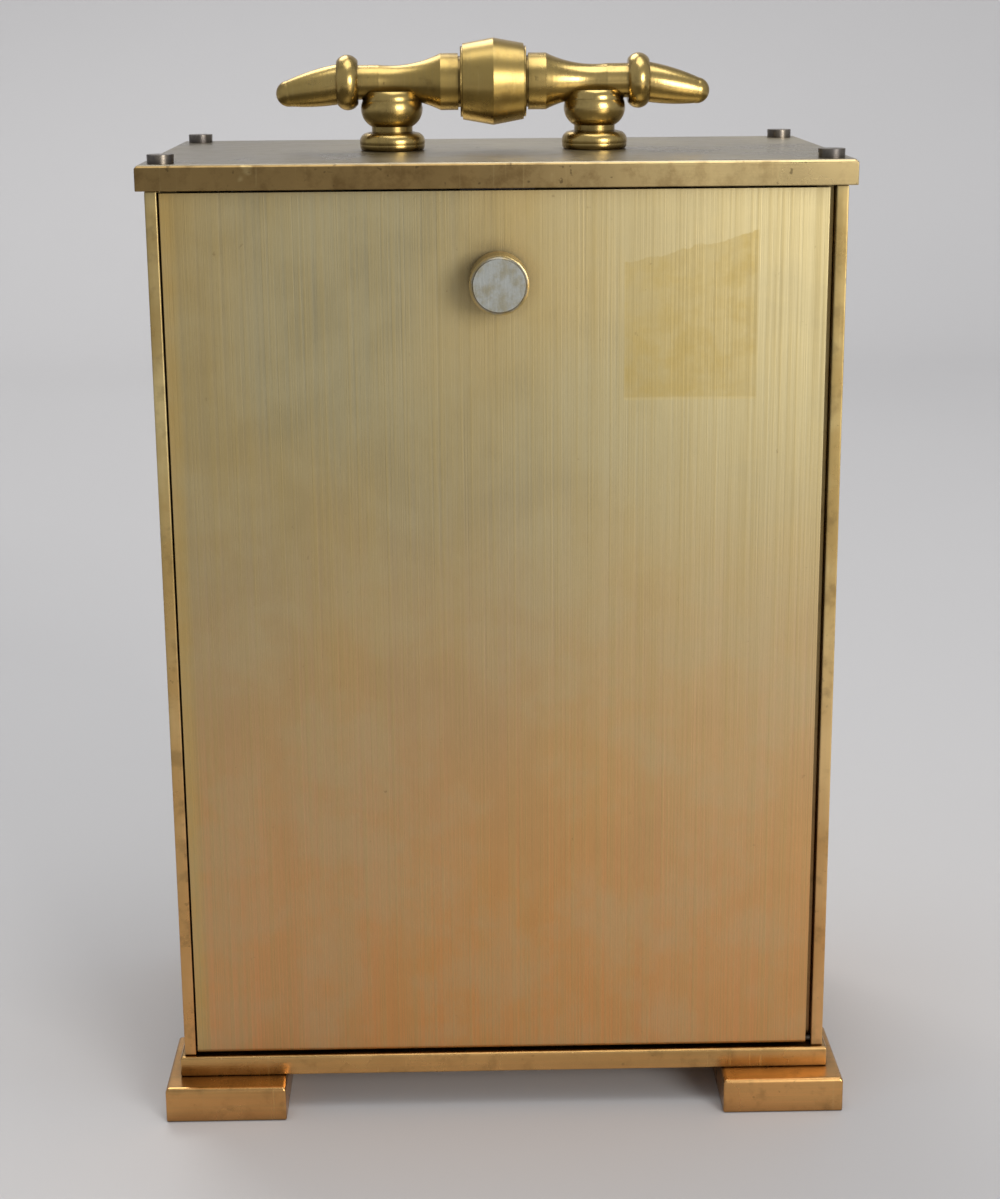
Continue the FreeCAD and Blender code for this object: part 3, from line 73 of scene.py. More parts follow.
DOOR_LOW, DOOR_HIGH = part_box("back_door")
TOP_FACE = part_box("top_plate")[1].z
KNOB_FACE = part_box("door_knob")[1].y
HOUR_LOW, HOUR_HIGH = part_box("hour_markers")
MARKER_TIP = (HOUR_HIGH.x - HOUR_LOW.x) / 2

# The tint that a paper label left on the door.
LABEL_LEFT = DOOR_LOW.x + 11.25 * MM
LABEL_RIGHT = DOOR_LOW.x + 32.75 * MM
LABEL_FOOT = DOOR_HIGH.z - 33.5 * MM
LABEL_TORN_TOP = DOOR_HIGH.z - 11.6 * MM
LABEL_TEAR_SLOPE = -0.23
LABEL_TEAR_DEPTH = 4.5 * MM
LABEL_FOOT_LINE = 0.4 * MM

MINUTES = 60
TRACK_INNER = MARKER_TIP + 1.0 * MM
TRACK_OUTER = MARKER_TIP + 3.2 * MM
TRACK_LINE = 0.14 * MM


# ------------------------------------------------------------------ finishes

class Finish:
    """A finish being mixed: node by node, on the piece's own place in metres."""

    def __init__(self, name, metallic=1.0, roughness=0.35):
        self.material = bpy.data.materials.new(name)
        self.material.use_nodes = True
        self.tree = self.material.node_tree
        self.shader = self.tree.nodes["Principled BSDF"]
        self.shader.inputs["Metallic"].default_value = metallic
        self.shader.inputs["Roughness"].default_value = roughness
        self.place = self.add("ShaderNodeTexCoord").outputs["Object"]
        self.axes = self.add("ShaderNodeSeparateXYZ", Vector=self.place).outputs

    def add(self, kind, settings=None, **sockets):
        node = self.tree.nodes.new(kind)
        for name, value in (settings or {}).items():
            setattr(node, name, value)
        for name, value in sockets.items():
            self.feed(node.inputs[name], value)
        return node

    def feed(self, socket, value):
        if isinstance(value, bpy.types.NodeSocket):
            self.tree.links.new(value, socket)
        else:
            socket.default_value = value

    def sum(self, operation, *values, clamp=False):
        node = self.add("ShaderNodeMath", {"operation": operation, "use_clamp": clamp})
        for socket, value in zip(node.inputs, values):
            self.feed(socket, value)
        return node.outputs[0]

    def times(self, first, second):
        return self.sum("MULTIPLY", first, second)

    def about(self, centre_x, centre_z):
        """Offsets across and up from a centre, and the distance from it."""
        x = self.sum("SUBTRACT", self.axes["X"], centre_x)
        z = self.sum("SUBTRACT", self.axes["Z"], centre_z)
        return x, z, self.sum("SQRT", self.sum("ADD", self.times(x, x), self.times(z, z)))

    def stretched(self, across, along, up, shift=(0.0, 0.0, 0.0), turn=(0.0, 0.0, 0.0)):
        """The place with each axis scaled, so that a small scale draws a pattern out long."""
        node = self.add("ShaderNodeMapping", Vector=self.place)
        node.inputs["Scale"].default_value = (across, along, up)
        node.inputs["Location"].default_value = shift
        node.inputs["Rotation"].default_value = turn
        return node.outputs[0]

    def cloud(self, scale, detail=4.0, roughness=0.55, place=None):
        node = self.add("ShaderNodeTexNoise", Scale=scale, Detail=detail, Roughness=roughness)
        self.feed(node.inputs["Vector"], place or self.place)
        return node.outputs["Fac"]

    def band(self, value, low, high, bottom=0.0, top=1.0):
        """Value between low and high, spread over bottom to top."""
        node = self.add("ShaderNodeMapRange", {"clamp": True, "interpolation_type": "SMOOTHSTEP"})
        for name, number in (("Value", value), ("From Min", low), ("From Max", high),
                             ("To Min", bottom), ("To Max", top)):
            self.feed(node.inputs[name], number)
        return node.outputs["Result"]

    def between(self, value, low, high, soft):
        """1 from low to high and 0 outside them, with a soft border."""
        return self.times(self.band(value, low - soft, low + soft),
                          self.band(value, high - soft, high + soft, 1.0, 0.0))

    def blend(self, share, first, second):
        """First where share is 0 and second where it is 1."""
        node = self.add("ShaderNodeMix", {"data_type": "RGBA"})
        self.feed(node.inputs[0], share)
        for socket, value in ((node.inputs[6], first), (node.inputs[7], second)):
            self.feed(socket, (*value, 1.0) if isinstance(value, tuple) else value)
        return node.outputs[2]

    def stain(self, metal, tone, where, strength):
        """The metal with a tone laid over it, where it is seen and as strongly as asked."""
        return self.blend(self.times(where, strength), metal, tone)

    def occlusion_mask(self, reach):
        """Ambient occlusion: 1 in corners and grooves, 0 on open faces, the mask for painted shade.
        """
        node = self.add("ShaderNodeAmbientOcclusion", {"samples": 6}, Distance=reach)
        return self.sum("SUBTRACT", 1.0, node.outputs["AO"], clamp=True)

    def scratches(self, turn, fineness=1.0):
        """Thin stray lines, all about one direction."""
        across, along = 1900.0 * fineness, 40.0
        lines = self.cloud(1.0, 1.0, 0.5, self.stretched(across, across, along, turn=turn))
        return self.band(lines, 0.69, 0.76)

    def colour(self, value):
        self.feed(self.shader.inputs["Base Color"], value)

    def rough(self, value):
        self.feed(self.shader.inputs["Roughness"], value)

    def bump(self, height, strength, distance):
        node = self.add("ShaderNodeBump", Strength=strength, Distance=distance, Height=height)
        self.feed(self.shader.inputs["Normal"], node.outputs[0])


# Linear colours of this clock's metals, with the painted light, shade and reflections laid on them.
OLD_GOLD = (0.50, 0.345, 0.125)
PALE_GOLD = (0.63, 0.50, 0.235)
OLIVE = (0.35, 0.265, 0.105)
GREY_OLIVE = (0.385, 0.335, 0.20)
BROWN = (0.13, 0.078, 0.028)
DARK_BROWN = (0.045, 0.028, 0.014)
# A painted orange reflection of a red cloth under the clock, laid on the lower brass.
CLOTH_REFLECTION_ORANGE = (0.73, 0.290, 0.095)
# A painted reflection along the door's rounded edge.
EDGE_REFLECTION_GOLD = (0.56, 0.37, 0.12)
# The door's painted highlight, pale cream.
DOOR_HIGHLIGHT_CREAM = (0.64, 0.545, 0.30)
LACQUER = (0.50, 0.375, 0.135)
SIDE_GOLD = (0.46, 0.345, 0.155)
BASE_GOLD = (0.62, 0.42, 0.16)
HANDLE_GOLD = (0.56, 0.40, 0.145)
HANDLE_WORN = (0.43, 0.30, 0.095)
TOP_GREY = (0.295, 0.250, 0.160)
TOP_PALE = (0.40, 0.350, 0.245)
# The top plate's upper face in painted shade, and its edges as shaded and lit copies of one brass.
TOP_SHADED = (0.150, 0.128, 0.088)
TOP_EDGE_SHADED = (0.26, 0.170, 0.065)
TOP_EDGE_LIT = (0.50, 0.38, 0.18)
NICKEL = (0.335, 0.345, 0.325)
NICKEL_WORN = (0.27, 0.25, 0.18)
STEEL = (0.40, 0.40, 0.41)
STEEL_WORN = (0.25, 0.245, 0.24)
DARK_STEEL = (0.13, 0.12, 0.115)
SCREW_STEEL = (0.24, 0.21, 0.17)
SPRING_GREY = (0.20, 0.21, 0.24)
# Near-black steel for the hinge pins: painted shade, so that the gap where they show stays dark.
PIN_SHADE_BROWN = (0.075, 0.065, 0.055)
PIN_SHADE_DARK = (0.04, 0.035, 0.03)
BLUED = (0.030, 0.045, 0.11)
BLUED_DARK = (0.02, 0.028, 0.07)

# Linear colours of its dial and glass, and of the sweep that it stands on.
CREAM = (0.80, 0.74, 0.58)
AGED_CREAM = (0.70, 0.61, 0.43)
# Painted shade for the dial, beside raised parts and in its corners.
CREAM_SHADE = (0.36, 0.27, 0.15)
TRACK_INK = (0.035, 0.030, 0.025)
GLASS_CLEAR = (0.97, 0.98, 0.97)
GLASS_SMEAR = (0.93, 0.95, 0.93)
SWEEP_DARK = (0.505, 0.50, 0.505)
SWEEP_PALE = (0.545, 0.54, 0.545)


def label_tint(f, metal):
    """Lacquer that a label kept warm: straight sides, a pale line at its foot and a torn top."""
    x, z = f.axes["X"], f.axes["Z"]
    soft, fine = 0.25 * MM, 0.16 * MM
    torn = f.times(f.sum("SUBTRACT", f.cloud(160.0, 5.0, 0.6), 0.5), LABEL_TEAR_DEPTH)
    slope = f.times(f.sum("SUBTRACT", x, LABEL_RIGHT), LABEL_TEAR_SLOPE)
    torn_top = f.sum("ADD", f.sum("ADD", slope, LABEL_TORN_TOP), torn)
    ends = f.times(f.band(z, LABEL_FOOT - soft, LABEL_FOOT + soft),
                   f.band(z, torn_top, f.sum("ADD", torn_top, soft), 1.0, 0.0))
    label = f.times(f.between(x, LABEL_LEFT, LABEL_RIGHT, soft), ends)
    blotch = f.band(f.cloud(230.0, 5.0, 0.65), 0.35, 0.70, 0.45, 0.95)
    metal = f.stain(metal, LACQUER, label, blotch)
    foot_line = f.times(f.between(x, LABEL_LEFT, LABEL_RIGHT, fine),
                        f.between(z, LABEL_FOOT - LABEL_FOOT_LINE, LABEL_FOOT, fine))
    return f.stain(metal, PALE_GOLD, foot_line, 0.5)


def door_finish():
    """Upright brushed sheet under old lacquer, with painted light: a highlight that makes it paler to
    one side, an orange reflection towards its foot and a reflection along one edge.
    """
    lit_from, lit_to = 12.0 * MM, -46.0 * MM
    highlight_rise_from, highlight_rise_to = 85.0 * MM, 150.0 * MM
    foot_reflection_from, foot_reflection_to = 128.0 * MM, 12.0 * MM
    rim_reflection_from, rim_reflection_to = 50.8 * MM, 52.8 * MM
    f = Finish("door_brushed_brass")
    x, z = f.axes["X"], f.axes["Z"]
    grain = f.cloud(1.0, 3.0, 0.65, f.stretched(2600.0, 2600.0, 16.0))
    streak = f.cloud(1.0, 4.0, 0.6, f.stretched(420.0, 420.0, 5.5, shift=(3.0, 0.0, 1.0)))
    drift = f.cloud(16.0, 3.0, 0.5, f.stretched(1.0, 1.0, 0.55, shift=(0.3, 0.0, 0.2)))
    patch = f.cloud(70.0, 5.0, 0.6)
    metal = f.blend(f.band(drift, 0.36, 0.66), GREY_OLIVE, OLD_GOLD)
    upper = f.times(f.band(z, highlight_rise_from, highlight_rise_to), 0.55)
    # A painted highlight: paler towards one side, and more so higher up.
    metal = f.stain(metal, DOOR_HIGHLIGHT_CREAM, f.band(x, lit_from, lit_to), f.sum("ADD", upper, 0.40))
    # A painted orange reflection, growing towards the foot.
    metal = f.stain(metal, CLOTH_REFLECTION_ORANGE, f.band(z, foot_reflection_from, foot_reflection_to), 0.72)
    # A painted reflection along the door's rounded edge on one side.
    metal = f.blend(f.band(x, rim_reflection_from, rim_reflection_to, 0.0, 0.7), metal, EDGE_REFLECTION_GOLD)
    metal = label_tint(f, metal)
    metal = f.blend(f.band(streak, 0.30, 0.70, 0.0, 0.16), metal, OLIVE)
    metal = f.blend(f.band(grain, 0.30, 0.72, 0.0, 0.50), metal, OLIVE)
    metal = f.blend(f.band(patch, 0.40, 0.66, 0.0, 0.30), metal, GREY_OLIVE)
    metal = f.stain(metal, BROWN, f.band(f.cloud(520.0, 3.0, 0.6), 0.70, 0.78), 0.35)
    # Painted shade: brown in corners and grooves, by ambient occlusion.
    metal = f.stain(metal, BROWN, f.occlusion_mask(3.5 * MM), 0.75)
    f.colour(metal)
    f.rough(f.sum("ADD", f.band(grain, 0.2, 0.8, 0.36, 0.52), f.band(patch, 0.3, 0.7, -0.04, 0.06)))
    f.bump(grain, 0.35, 0.08 * MM)
    return f.material


def case_finish(name, base, worn, brush=(900.0, 900.0, 14.0), roughness=(0.24, 0.42), spots=0.5,
                shade_share=0.85, reflection_share=0.0, reflection_top=100.0 * MM):
    """Old brass: worn high places, brown painted shade in corners and grooves, small tarnish spots
    and stray scratches.

    Below a given height it takes on a painted orange reflection, growing to the given share at the
    table.
    """
    f = Finish(name)
    grain = f.cloud(1.0, 3.0, 0.6, f.stretched(*brush))
    drift = f.cloud(48.0, 5.0, 0.6)
    metal = f.blend(f.band(drift, 0.34, 0.66), base, worn)
    # A painted orange reflection, growing towards the table.
    metal = f.blend(f.band(f.axes["Z"], reflection_top, 0.0, 0.0, reflection_share), metal, CLOTH_REFLECTION_ORANGE)
    metal = f.stain(metal, BROWN, f.band(f.cloud(260.0, 4.0, 0.62), 0.50, 0.72), spots)
    metal = f.stain(metal, DARK_BROWN, f.band(f.cloud(900.0, 2.0, 0.5), 0.69, 0.76), spots)
    metal = f.stain(metal, OLIVE, f.band(grain, 0.35, 0.7), 0.25)
    # Painted shade: dark brown in corners and grooves, by ambient occlusion.
    metal = f.stain(metal, DARK_BROWN, f.occlusion_mask(2.8 * MM), shade_share)
    nicks = f.sum("MAXIMUM", f.scratches((0.5, 0.4, 0.9)), f.scratches((1.2, 0.2, -0.5), 0.7))
    f.colour(f.stain(metal, PALE_GOLD, nicks, 0.09))
    f.rough(f.sum("ADD", f.band(drift, 0.3, 0.7, *roughness), f.times(nicks, 0.04)))
    f.bump(f.sum("SUBTRACT", grain, f.times(nicks, 0.12)), 0.25, 0.06 * MM)
    return f.material


def top_finish():
    """The top plate: a grey-olive upper face in painted shade towards one side, and brown mottled
    edges with a painted highlight that makes them paler to the other side.
    """
    shade_from, shade_to = -10.0 * MM, 50.0 * MM
    lit_from, lit_to = 12.0 * MM, -45.0 * MM
    f = Finish("top_plate_old_brass")
    x = f.axes["X"]
    grain = f.cloud(1.0, 3.0, 0.6, f.stretched(30.0, 2400.0, 2400.0))
    drift = f.cloud(34.0, 5.0, 0.6)
    upper = f.blend(f.band(drift, 0.34, 0.66), TOP_GREY, TOP_PALE)
    # Painted shade: the upper face darker towards one side.
    upper = f.blend(f.band(x, shade_from, shade_to, 0.0, 0.90), upper, TOP_SHADED)
    # A painted highlight: the edges paler towards the other side, with fewer brown spots there.
    lit_side = f.band(x, lit_from, lit_to)
    edge = f.blend(lit_side, TOP_EDGE_SHADED, TOP_EDGE_LIT)
    mottle = f.band(f.cloud(240.0, 5.0, 0.65), 0.42, 0.70)
    edge = f.stain(edge, BROWN, mottle, f.sum("SUBTRACT", 0.80, f.times(lit_side, 0.35)))
    shifted = f.stretched(1.0, 1.0, 1.0, shift=(0.11, 0.0, 0.0))
    edge = f.stain(edge, PALE_GOLD, f.band(f.cloud(120.0, 3.0, 0.5, shifted), 0.66, 0.72), 0.6)
    is_upper = f.band(f.axes["Z"], TOP_FACE - 0.30 * MM, TOP_FACE - 0.08 * MM)
    metal = f.blend(is_upper, edge, upper)
    metal = f.stain(metal, DARK_BROWN, f.band(f.cloud(800.0, 2.0, 0.5), 0.68, 0.75), 0.55)
    # Painted shade: dark brown in corners and grooves, by ambient occlusion.
    metal = f.stain(metal, DARK_BROWN, f.occlusion_mask(2.8 * MM), 0.85)
    f.colour(f.stain(metal, PALE_GOLD, f.scratches((0.4, 0.9, 1.3)), 0.12))
    f.rough(f.sum("ADD", f.band(drift, 0.3, 0.7, 0.24, 0.34), f.times(mottle, 0.06)))
    f.bump(f.sum("ADD", grain, f.times(mottle, 0.5)), 0.25, 0.06 * MM)
    return f.material


def knob_finish():
    """A turned pull knob: brass round its side, worn grey nickel on its face."""
    brass_gloss, nickel_gloss = (0.28,) * 3, (0.52,) * 3
    f = Finish("knob_worn_nickel")
    radius = f.about(*middle("door_knob"))[2]
    patch = f.cloud(420.0, 5.0, 0.65)
    worn_radius = f.sum("ADD", radius, f.times(patch, 0.9 * MM))
    face = f.times(f.band(f.axes["Y"], KNOB_FACE - 1.1 * MM, KNOB_FACE - 0.4 * MM),
                   f.band(worn_radius, 4.5 * MM, 5.2 * MM, 1.0, 0.0))
    brass = f.blend(f.band(f.cloud(300.0), 0.35, 0.65), OLD_GOLD, OLIVE)
    nickel = f.blend(f.band(patch, 0.38, 0.72), NICKEL, NICKEL_WORN)
    # Painted shade: dark brown in the knob's corners, by ambient occlusion.
    f.colour(f.stain(f.blend(face, brass, nickel), DARK_BROWN, f.occlusion_mask(2.0 * MM), 0.9))
    rings = f.cloud(1.0, 3.0, 0.6, f.stretched(2400.0, 2400.0, 300.0))
    f.rough(f.blend(face, brass_gloss, nickel_gloss))
    f.bump(f.sum("ADD", rings, patch), 0.3, 0.08 * MM)
    return f.material


def steel_finish(name, tone, dark, roughness=(0.25, 0.45)):
    """Old steel with a fine finish and darker spots."""
    f = Finish(name)
    grain = f.cloud(1.0, 3.0, 0.6, f.stretched(1600.0, 1600.0, 1600.0))
    patch = f.cloud(380.0, 4.0, 0.6)
    metal = f.blend(f.band(patch, 0.38, 0.68), tone, dark)
    # Painted shade: dark brown in corners and grooves, by ambient occlusion.
    f.colour(f.stain(metal, DARK_BROWN, f.occlusion_mask(1.2 * MM), 0.8))
    f.rough(f.band(patch, 0.3, 0.7, *roughness))
    f.bump(grain, 0.2, 0.05 * MM)
    return f.material


def wheel_finish(wheel):
    """Turned wheel brass: fine rings about the wheel's own centre."""
    f = Finish(wheel + "_turned")
    radius = f.about(*middle(wheel))[2]
    across = f.add("ShaderNodeCombineXYZ", X=f.times(radius, 3200.0), Y=f.times(f.axes["Y"], 900.0))
    rings = f.cloud(1.0, 2.0, 0.5, across.outputs[0])
    patch = f.cloud(140.0, 4.0, 0.6)
    metal = f.blend(f.band(patch, 0.35, 0.7), PALE_GOLD, OLD_GOLD)
    f.colour(f.stain(metal, OLIVE, f.band(rings, 0.4, 0.7), 0.3))
    f.rough(f.band(rings, 0.3, 0.7, 0.22, 0.36))
    f.bump(rings, 0.25, 0.05 * MM)
    return f.material


def dial_finish():
    """Cream dial with a fine sunk minute track of sixty lines between two rings."""
    f = Finish("dial_cream", metallic=0.0)
    x, z, radius = f.about(*middle("hour_markers"))
    minutes_per_radian = MINUTES / (2.0 * math.pi)
    turn = f.times(f.sum("ARCTAN2", z, x), minutes_per_radian)
    step = f.sum("FRACT", f.sum("ADD", turn, MINUTES + 0.5))
    off_line = f.sum("ABSOLUTE", f.sum("SUBTRACT", step, 0.5))
    tick = f.sum("LESS_THAN", off_line, f.sum("DIVIDE", TRACK_LINE * minutes_per_radian, radius))
    within = f.times(f.sum("GREATER_THAN", radius, TRACK_INNER),
                     f.sum("LESS_THAN", radius, TRACK_OUTER))
    track = f.times(tick, within)
    for ring in (TRACK_INNER, TRACK_OUTER):
        off_ring = f.sum("ABSOLUTE", f.sum("SUBTRACT", radius, ring))
        track = f.sum("MAXIMUM", track, f.sum("LESS_THAN", off_ring, TRACK_LINE * 0.8))
    cream = f.blend(f.band(f.cloud(60.0, 5.0, 0.6), 0.35, 0.7), CREAM, AGED_CREAM)
    # Painted shade: the cream darker in corners and beside raised parts, by ambient occlusion.
    cream = f.stain(cream, CREAM_SHADE, f.occlusion_mask(4.0 * MM), 0.35)
    f.colour(f.blend(track, cream, TRACK_INK))
    fine = f.cloud(2600.0, 2.0, 0.5)
    f.rough(f.band(fine, 0.3, 0.7, 0.40, 0.52))
    f.bump(fine, 0.12, 0.04 * MM)
    return f.material


def glass_finish():
    """Clear glass with the faintest wipe marks."""
    f = Finish("front_glass_clear", metallic=0.0)
    f.shader.inputs["Transmission Weight"].default_value = 1.0
    f.shader.inputs["IOR"].default_value = 1.45
    smear = f.cloud(1.0, 4.0, 0.6, f.stretched(70.0, 70.0, 24.0, turn=(0.0, 0.5, 0.0)))
    f.colour(f.blend(f.band(smear, 0.3, 0.8), GLASS_CLEAR, GLASS_SMEAR))
    f.rough(f.band(smear, 0.45, 0.8, 0.02, 0.07))
    return f.material


def sweep_finish():
    """Pale matt paper."""
    f = Finish("sweep_pale", metallic=0.0, roughness=0.7)
    f.colour(f.blend(f.cloud(3.0, 2.0), SWEEP_DARK, SWEEP_PALE))
    return f.material


DOOR = door_finish()
# The bars, side panels and base below take a painted orange reflection towards the table.
BAR = case_finish("bar_brass", OLD_GOLD, PALE_GOLD, roughness=(0.26, 0.40), spots=0.35,
                  reflection_share=0.60, reflection_top=120.0 * MM)
SIDE = case_finish("side_brushed_brass", SIDE_GOLD, OLD_GOLD, brush=(2400.0, 2400.0, 16.0),
                   roughness=(0.36, 0.46), spots=0.08, reflection_share=0.45, reflection_top=120.0 * MM)
TOP = top_finish()
BASE = case_finish("base_brass", OLD_GOLD, BASE_GOLD, brush=(30.0, 1500.0, 1500.0),
                   roughness=(0.18, 0.32), spots=0.3, reflection_share=0.55, reflection_top=20.0 * MM)
BRIGHT_BRASS = case_finish("bezel_brass", OLD_GOLD, PALE_GOLD, brush=(900.0, 900.0, 900.0),
                           roughness=(0.14, 0.26), spots=0.15)
TURNED = case_finish("handle_brass", HANDLE_GOLD, HANDLE_WORN, brush=(2200.0, 60.0, 60.0),
                     roughness=(0.22, 0.32), spots=0.4)
KNOB = knob_finish()
CASE_SCREW = steel_finish("case_screw_steel", SCREW_STEEL, DARK_STEEL)
# The hinge pins' near-black steel is painted shade for the gap they sit in.
HINGE_STEEL = steel_finish("hinge_pin_steel", PIN_SHADE_BROWN, PIN_SHADE_DARK, roughness=(0.55, 0.7))
BRIGHT_STEEL = steel_finish("arbor_steel", STEEL, STEEL_WORN, roughness=(0.14, 0.28))
SPRING_STEEL = steel_finish("spring_steel", SPRING_GREY, DARK_STEEL, roughness=(0.2, 0.34))
HAND_STEEL = steel_finish("blued_hands", BLUED, BLUED_DARK, roughness=(0.2, 0.3))
PLATE = case_finish("movement_plate_brass", PALE_GOLD, OLD_GOLD, brush=(24.0, 2400.0, 2400.0),
                    roughness=(0.26, 0.36), spots=0.08, shade_share=0.4)
DIAL = dial_finish()
GLASS = glass_finish()


# ------------------------------------------------------------------ pieces

# Edges sharper than the first angle are rounded, and then those sharper than the second stay creased.
SHARP_EDGE = math.radians(32.0)
CREASE = math.radians(46.0)


def pick_only(piece):
    bpy.ops.object.select_all(action="DESELECT")
    piece.select_set(True)
    bpy.context.view_layer.objects.active = piece


def paint(piece, material):
    """Gives the whole piece one finish."""
    piece.data.materials.clear()
    piece.data.materials.append(material)


def merge_and_pick_sharp_edges():
    """Merges the picked piece's loose triangles and leaves only its sharp edges selected."""
    bpy.ops.object.mode_set(mode="EDIT")
    bpy.ops.mesh.select_all(action="SELECT")
    bpy.ops.mesh.remove_doubles(threshold=0.002 * MM)
    bpy.ops.mesh.dissolve_limited(angle_limit=math.radians(0.4))
    bpy.ops.mesh.select_mode(type="EDGE")
    bpy.ops.mesh.select_all(action="DESELECT")
    bpy.ops.mesh.edges_select_sharp(sharpness=SHARP_EDGE)
    bpy.ops.object.mode_set(mode="OBJECT")


def ease_edges(name, width, material, shortest=0.0):
    """Copies a case piece, rounds its sharp edges by width and lets the copy stand for it.

    Edges no longer than shortest stay sharp, such as the rims of fine bores.
    """
    piece = bpy.data.objects.new(name + "_eased", NODES[name].data.copy())
    bpy.context.scene.collection.objects.link(piece)
    pick_only(piece)
    bpy.ops.mesh.customdata_custom_splitnormals_clear()
    merge_and_pick_sharp_edges()
    weights = piece.data.attributes.new("bevel_weight_edge", "FLOAT", "EDGE")
    for edge, weight in zip(piece.data.edges, weights.data):
        start, end = (piece.data.vertices[i].co for i in edge.vertices)
        weight.value = 1.0 if edge.select and (end - start).length > shortest else 0.0
    round_off = piece.modifiers.new("round_off", "BEVEL")
    round_off.width = width
    round_off.segments = 2
    round_off.limit_method = "WEIGHT"
    round_off.use_clamp_overlap = False
    round_off.miter_outer = "MITER_ARC"
    bpy.ops.object.modifier_apply(modifier=round_off.name)
    bpy.ops.object.shade_smooth_by_angle(angle=CREASE)
    flat_faces = piece.modifiers.new("flat_faces", "WEIGHTED_NORMAL")
    flat_faces.keep_sharp = True
    flat_faces.weight = 100
    bpy.ops.object.modifier_apply(modifier=flat_faces.name)
    paint(piece, material)
    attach(piece, BODY_OF[name])
    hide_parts(name)


# Case pieces with rounded edges: the width of the rounding, the finish, and on the door the length up
# to which an edge stays sharp, because the wall beside its hinge bores is thin.
EASED = {
    "top_plate": (0.16 * MM, TOP),
    "base_plate": (0.30 * MM, BASE),
    "feet": (0.35 * MM, BASE),
    "back_door": (0.09 * MM, DOOR, 1.0 * MM),
    "side_panel_left": (0.15 * MM, SIDE),
    "side_panel_right": (0.15 * MM, SIDE),
    "corner_bar_front_left": (0.28 * MM, BAR),
    "corner_bar_front_right": (0.28 * MM, BAR),
    "corner_bar_rear_left": (0.28 * MM, BAR),
    "corner_bar_rear_right": (0.28 * MM, BAR),
    "front_bezel": (0.20 * MM, BRIGHT_BRASS),
}

WHEELS = ("great_wheel", "intermediate_wheel", "centre_wheel", "third_wheel", "fourth_wheel",
          "escape_wheel", "minute_wheel", "hour_wheel", "barrel_drum", "balance_wheel")

# A node that is in none of these tables is bright steel.
FINISHES = {
    "door_knob": KNOB,
    "front_glass": GLASS,
    "dial_plate": DIAL,
    "hour_hand": HAND_STEEL,
    "minute_hand": HAND_STEEL,
    "case_screws": CASE_SCREW,
    "handle_screws": CASE_SCREW,
    "mainspring": SPRING_STEEL,
    "hairspring": SPRING_STEEL,
    "click_spring": SPRING_STEEL,
    "door_catch_spring": SPRING_STEEL,
    "door_hinge_pins": HINGE_STEEL,
    "handle_barrel": TURNED,
    "handle_arm_left": TURNED,
    "handle_arm_right": TURNED,
    "handle_post_left": TURNED,
    "handle_post_right": TURNED,
    "hour_markers": BRIGHT_BRASS,
    "hand_nut": BRIGHT_BRASS,
    "movement_front_plate": PLATE,
    "movement_back_plate": PLATE,
    "movement_pillars": PLATE,
    "balance_cock": PLATE,
    "setting_knob": PLATE,
}

for name in NODES:
    if name in EASED:
        ease_edges(name, *EASED[name])
    elif name in WHEELS:
        paint(NODES[name], wheel_finish(name))
    else:
        paint(NODES[name], FINISHES.get(name, BRIGHT_STEEL))

NODES["front_glass"].visible_shadow = False


# ------------------------------------------------------------------ floor, light and camera

FLOOR_SIZE = 6.0
FLOOR_DROP = 0.02 * MM
WALL_BACK = 1.05
WALL_HEIGHT = 2.5
COVE_WIDTH = 0.25

SKY = (0.80, 0.82, 0.86, 1.0)
SKY_STRENGTH = 0.55

EYE = (0.00709, 0.3912, 0.1865)
EYE_YAW, EYE_PITCH, EYE_ROLL = 0.0194, 0.2581, -0.0079
LENS = 66.84


def plain_sweep():
    """A pale floor that curves up into a plain wall on the dial's side of the clock."""
    bpy.ops.object.select_all(action="DESELECT")
    bpy.ops.mesh.primitive_plane_add(size=FLOOR_SIZE,
                                     location=(0.0, FLOOR_SIZE / 2 - WALL_BACK, -FLOOR_DROP))
    sweep = bpy.context.object
    sweep.name = "sweep"
    bpy.ops.object.transform_apply(location=True, rotation=False, scale=False)
    pick_only(sweep)
    bpy.ops.object.mode_set(mode="EDIT")
    bpy.ops.mesh.select_mode(type="EDGE")
    bpy.ops.mesh.select_all(action="DESELECT")
    bpy.ops.object.mode_set(mode="OBJECT")
    for edge in sweep.data.edges:
        ends = [sweep.data.vertices[i].co.y for i in edge.vertices]
        edge.select = max(ends) < -WALL_BACK + 10.0 * MM
    bpy.ops.object.mode_set(mode="EDIT")
    bpy.ops.mesh.extrude_region_move(TRANSFORM_OT_translate={"value": (0.0, 0.0, WALL_HEIGHT)})
    bpy.ops.object.mode_set(mode="OBJECT")
    cove = sweep.modifiers.new("cove", "BEVEL")
    cove.width = COVE_WIDTH
    cove.segments = 16
    cove.limit_method = "ANGLE"
    bpy.ops.object.modifier_apply(modifier=cove.name)
    bpy.ops.object.shade_smooth_by_angle(angle=math.radians(60.0))
    paint(sweep, sweep_finish())


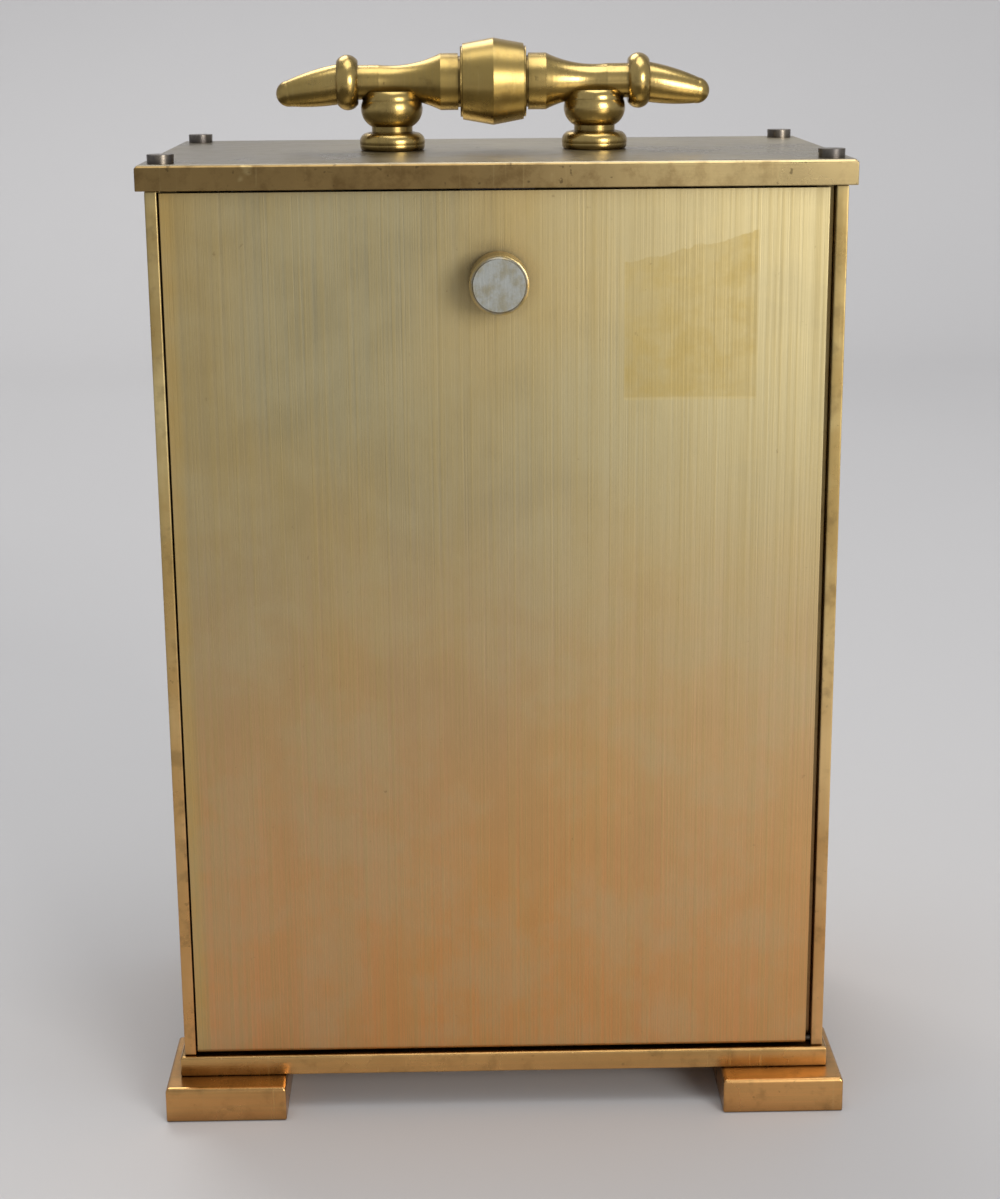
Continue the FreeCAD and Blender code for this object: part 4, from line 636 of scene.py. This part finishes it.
def soft_light(name, place, aim_height, size, power, tint=(1.0, 1.0, 1.0)):
    """A square lamp that faces the clock's middle line at aim_height."""
    light = bpy.data.lights.new(name, "AREA")
    light.shape = "RECTANGLE"
    light.size = size
    light.size_y = size
    light.energy = power
    light.color = tint
    lamp = bpy.data.objects.new(name, light)
    bpy.context.scene.collection.objects.link(lamp)
    lamp.location = place
    towards = Vector((0.0, 0.0, aim_height)) - Vector(place)
    lamp.rotation_euler = towards.to_track_quat("-Z", "Y").to_euler()


def studio():
    world = bpy.data.worlds.new("studio")
    world.use_nodes = True
    sky = world.node_tree.nodes["Background"]
    sky.inputs["Color"].default_value = SKY
    sky.inputs["Strength"].default_value = SKY_STRENGTH
    bpy.context.scene.world = world
    soft_light("key", (-0.75, 1.25, 0.45), 0.10, 0.62, 13.6, (1.0, 0.97, 0.93))
    soft_light("high", (-0.10, 0.10, 1.40), 0.10, 0.9, 7.0)
    soft_light("dial_side", (0.30, -0.80, 1.05), 0.09, 0.6, 5.0, (1.0, 0.98, 0.95))


def camera():
    """A camera on the door's side, a little above the clock and looking down at it."""
    ahead = Vector((-math.sin(EYE_YAW) * math.cos(EYE_PITCH),
                    -math.cos(EYE_YAW) * math.cos(EYE_PITCH),
                    -math.sin(EYE_PITCH)))
    right = Vector((-math.cos(EYE_YAW), math.sin(EYE_YAW), 0.0))
    up = right.cross(ahead)
    tilted_right = math.cos(EYE_ROLL) * right + math.sin(EYE_ROLL) * up
    tilted_up = -math.sin(EYE_ROLL) * right + math.cos(EYE_ROLL) * up
    data = bpy.data.cameras.new("camera")
    data.lens = LENS
    data.sensor_width = 36.0
    data.clip_start = 0.01
    data.clip_end = 50.0
    eye = bpy.data.objects.new("camera", data)
    bpy.context.scene.collection.objects.link(eye)
    turn = Matrix((tilted_right, tilted_up, -ahead)).transposed().to_4x4()
    eye.matrix_world = Matrix.Translation(EYE) @ turn
    bpy.context.scene.camera = eye


plain_sweep()
studio()
camera()
bpy.context.scene.view_settings.view_transform = "Standard"
bpy.context.view_layer.update()
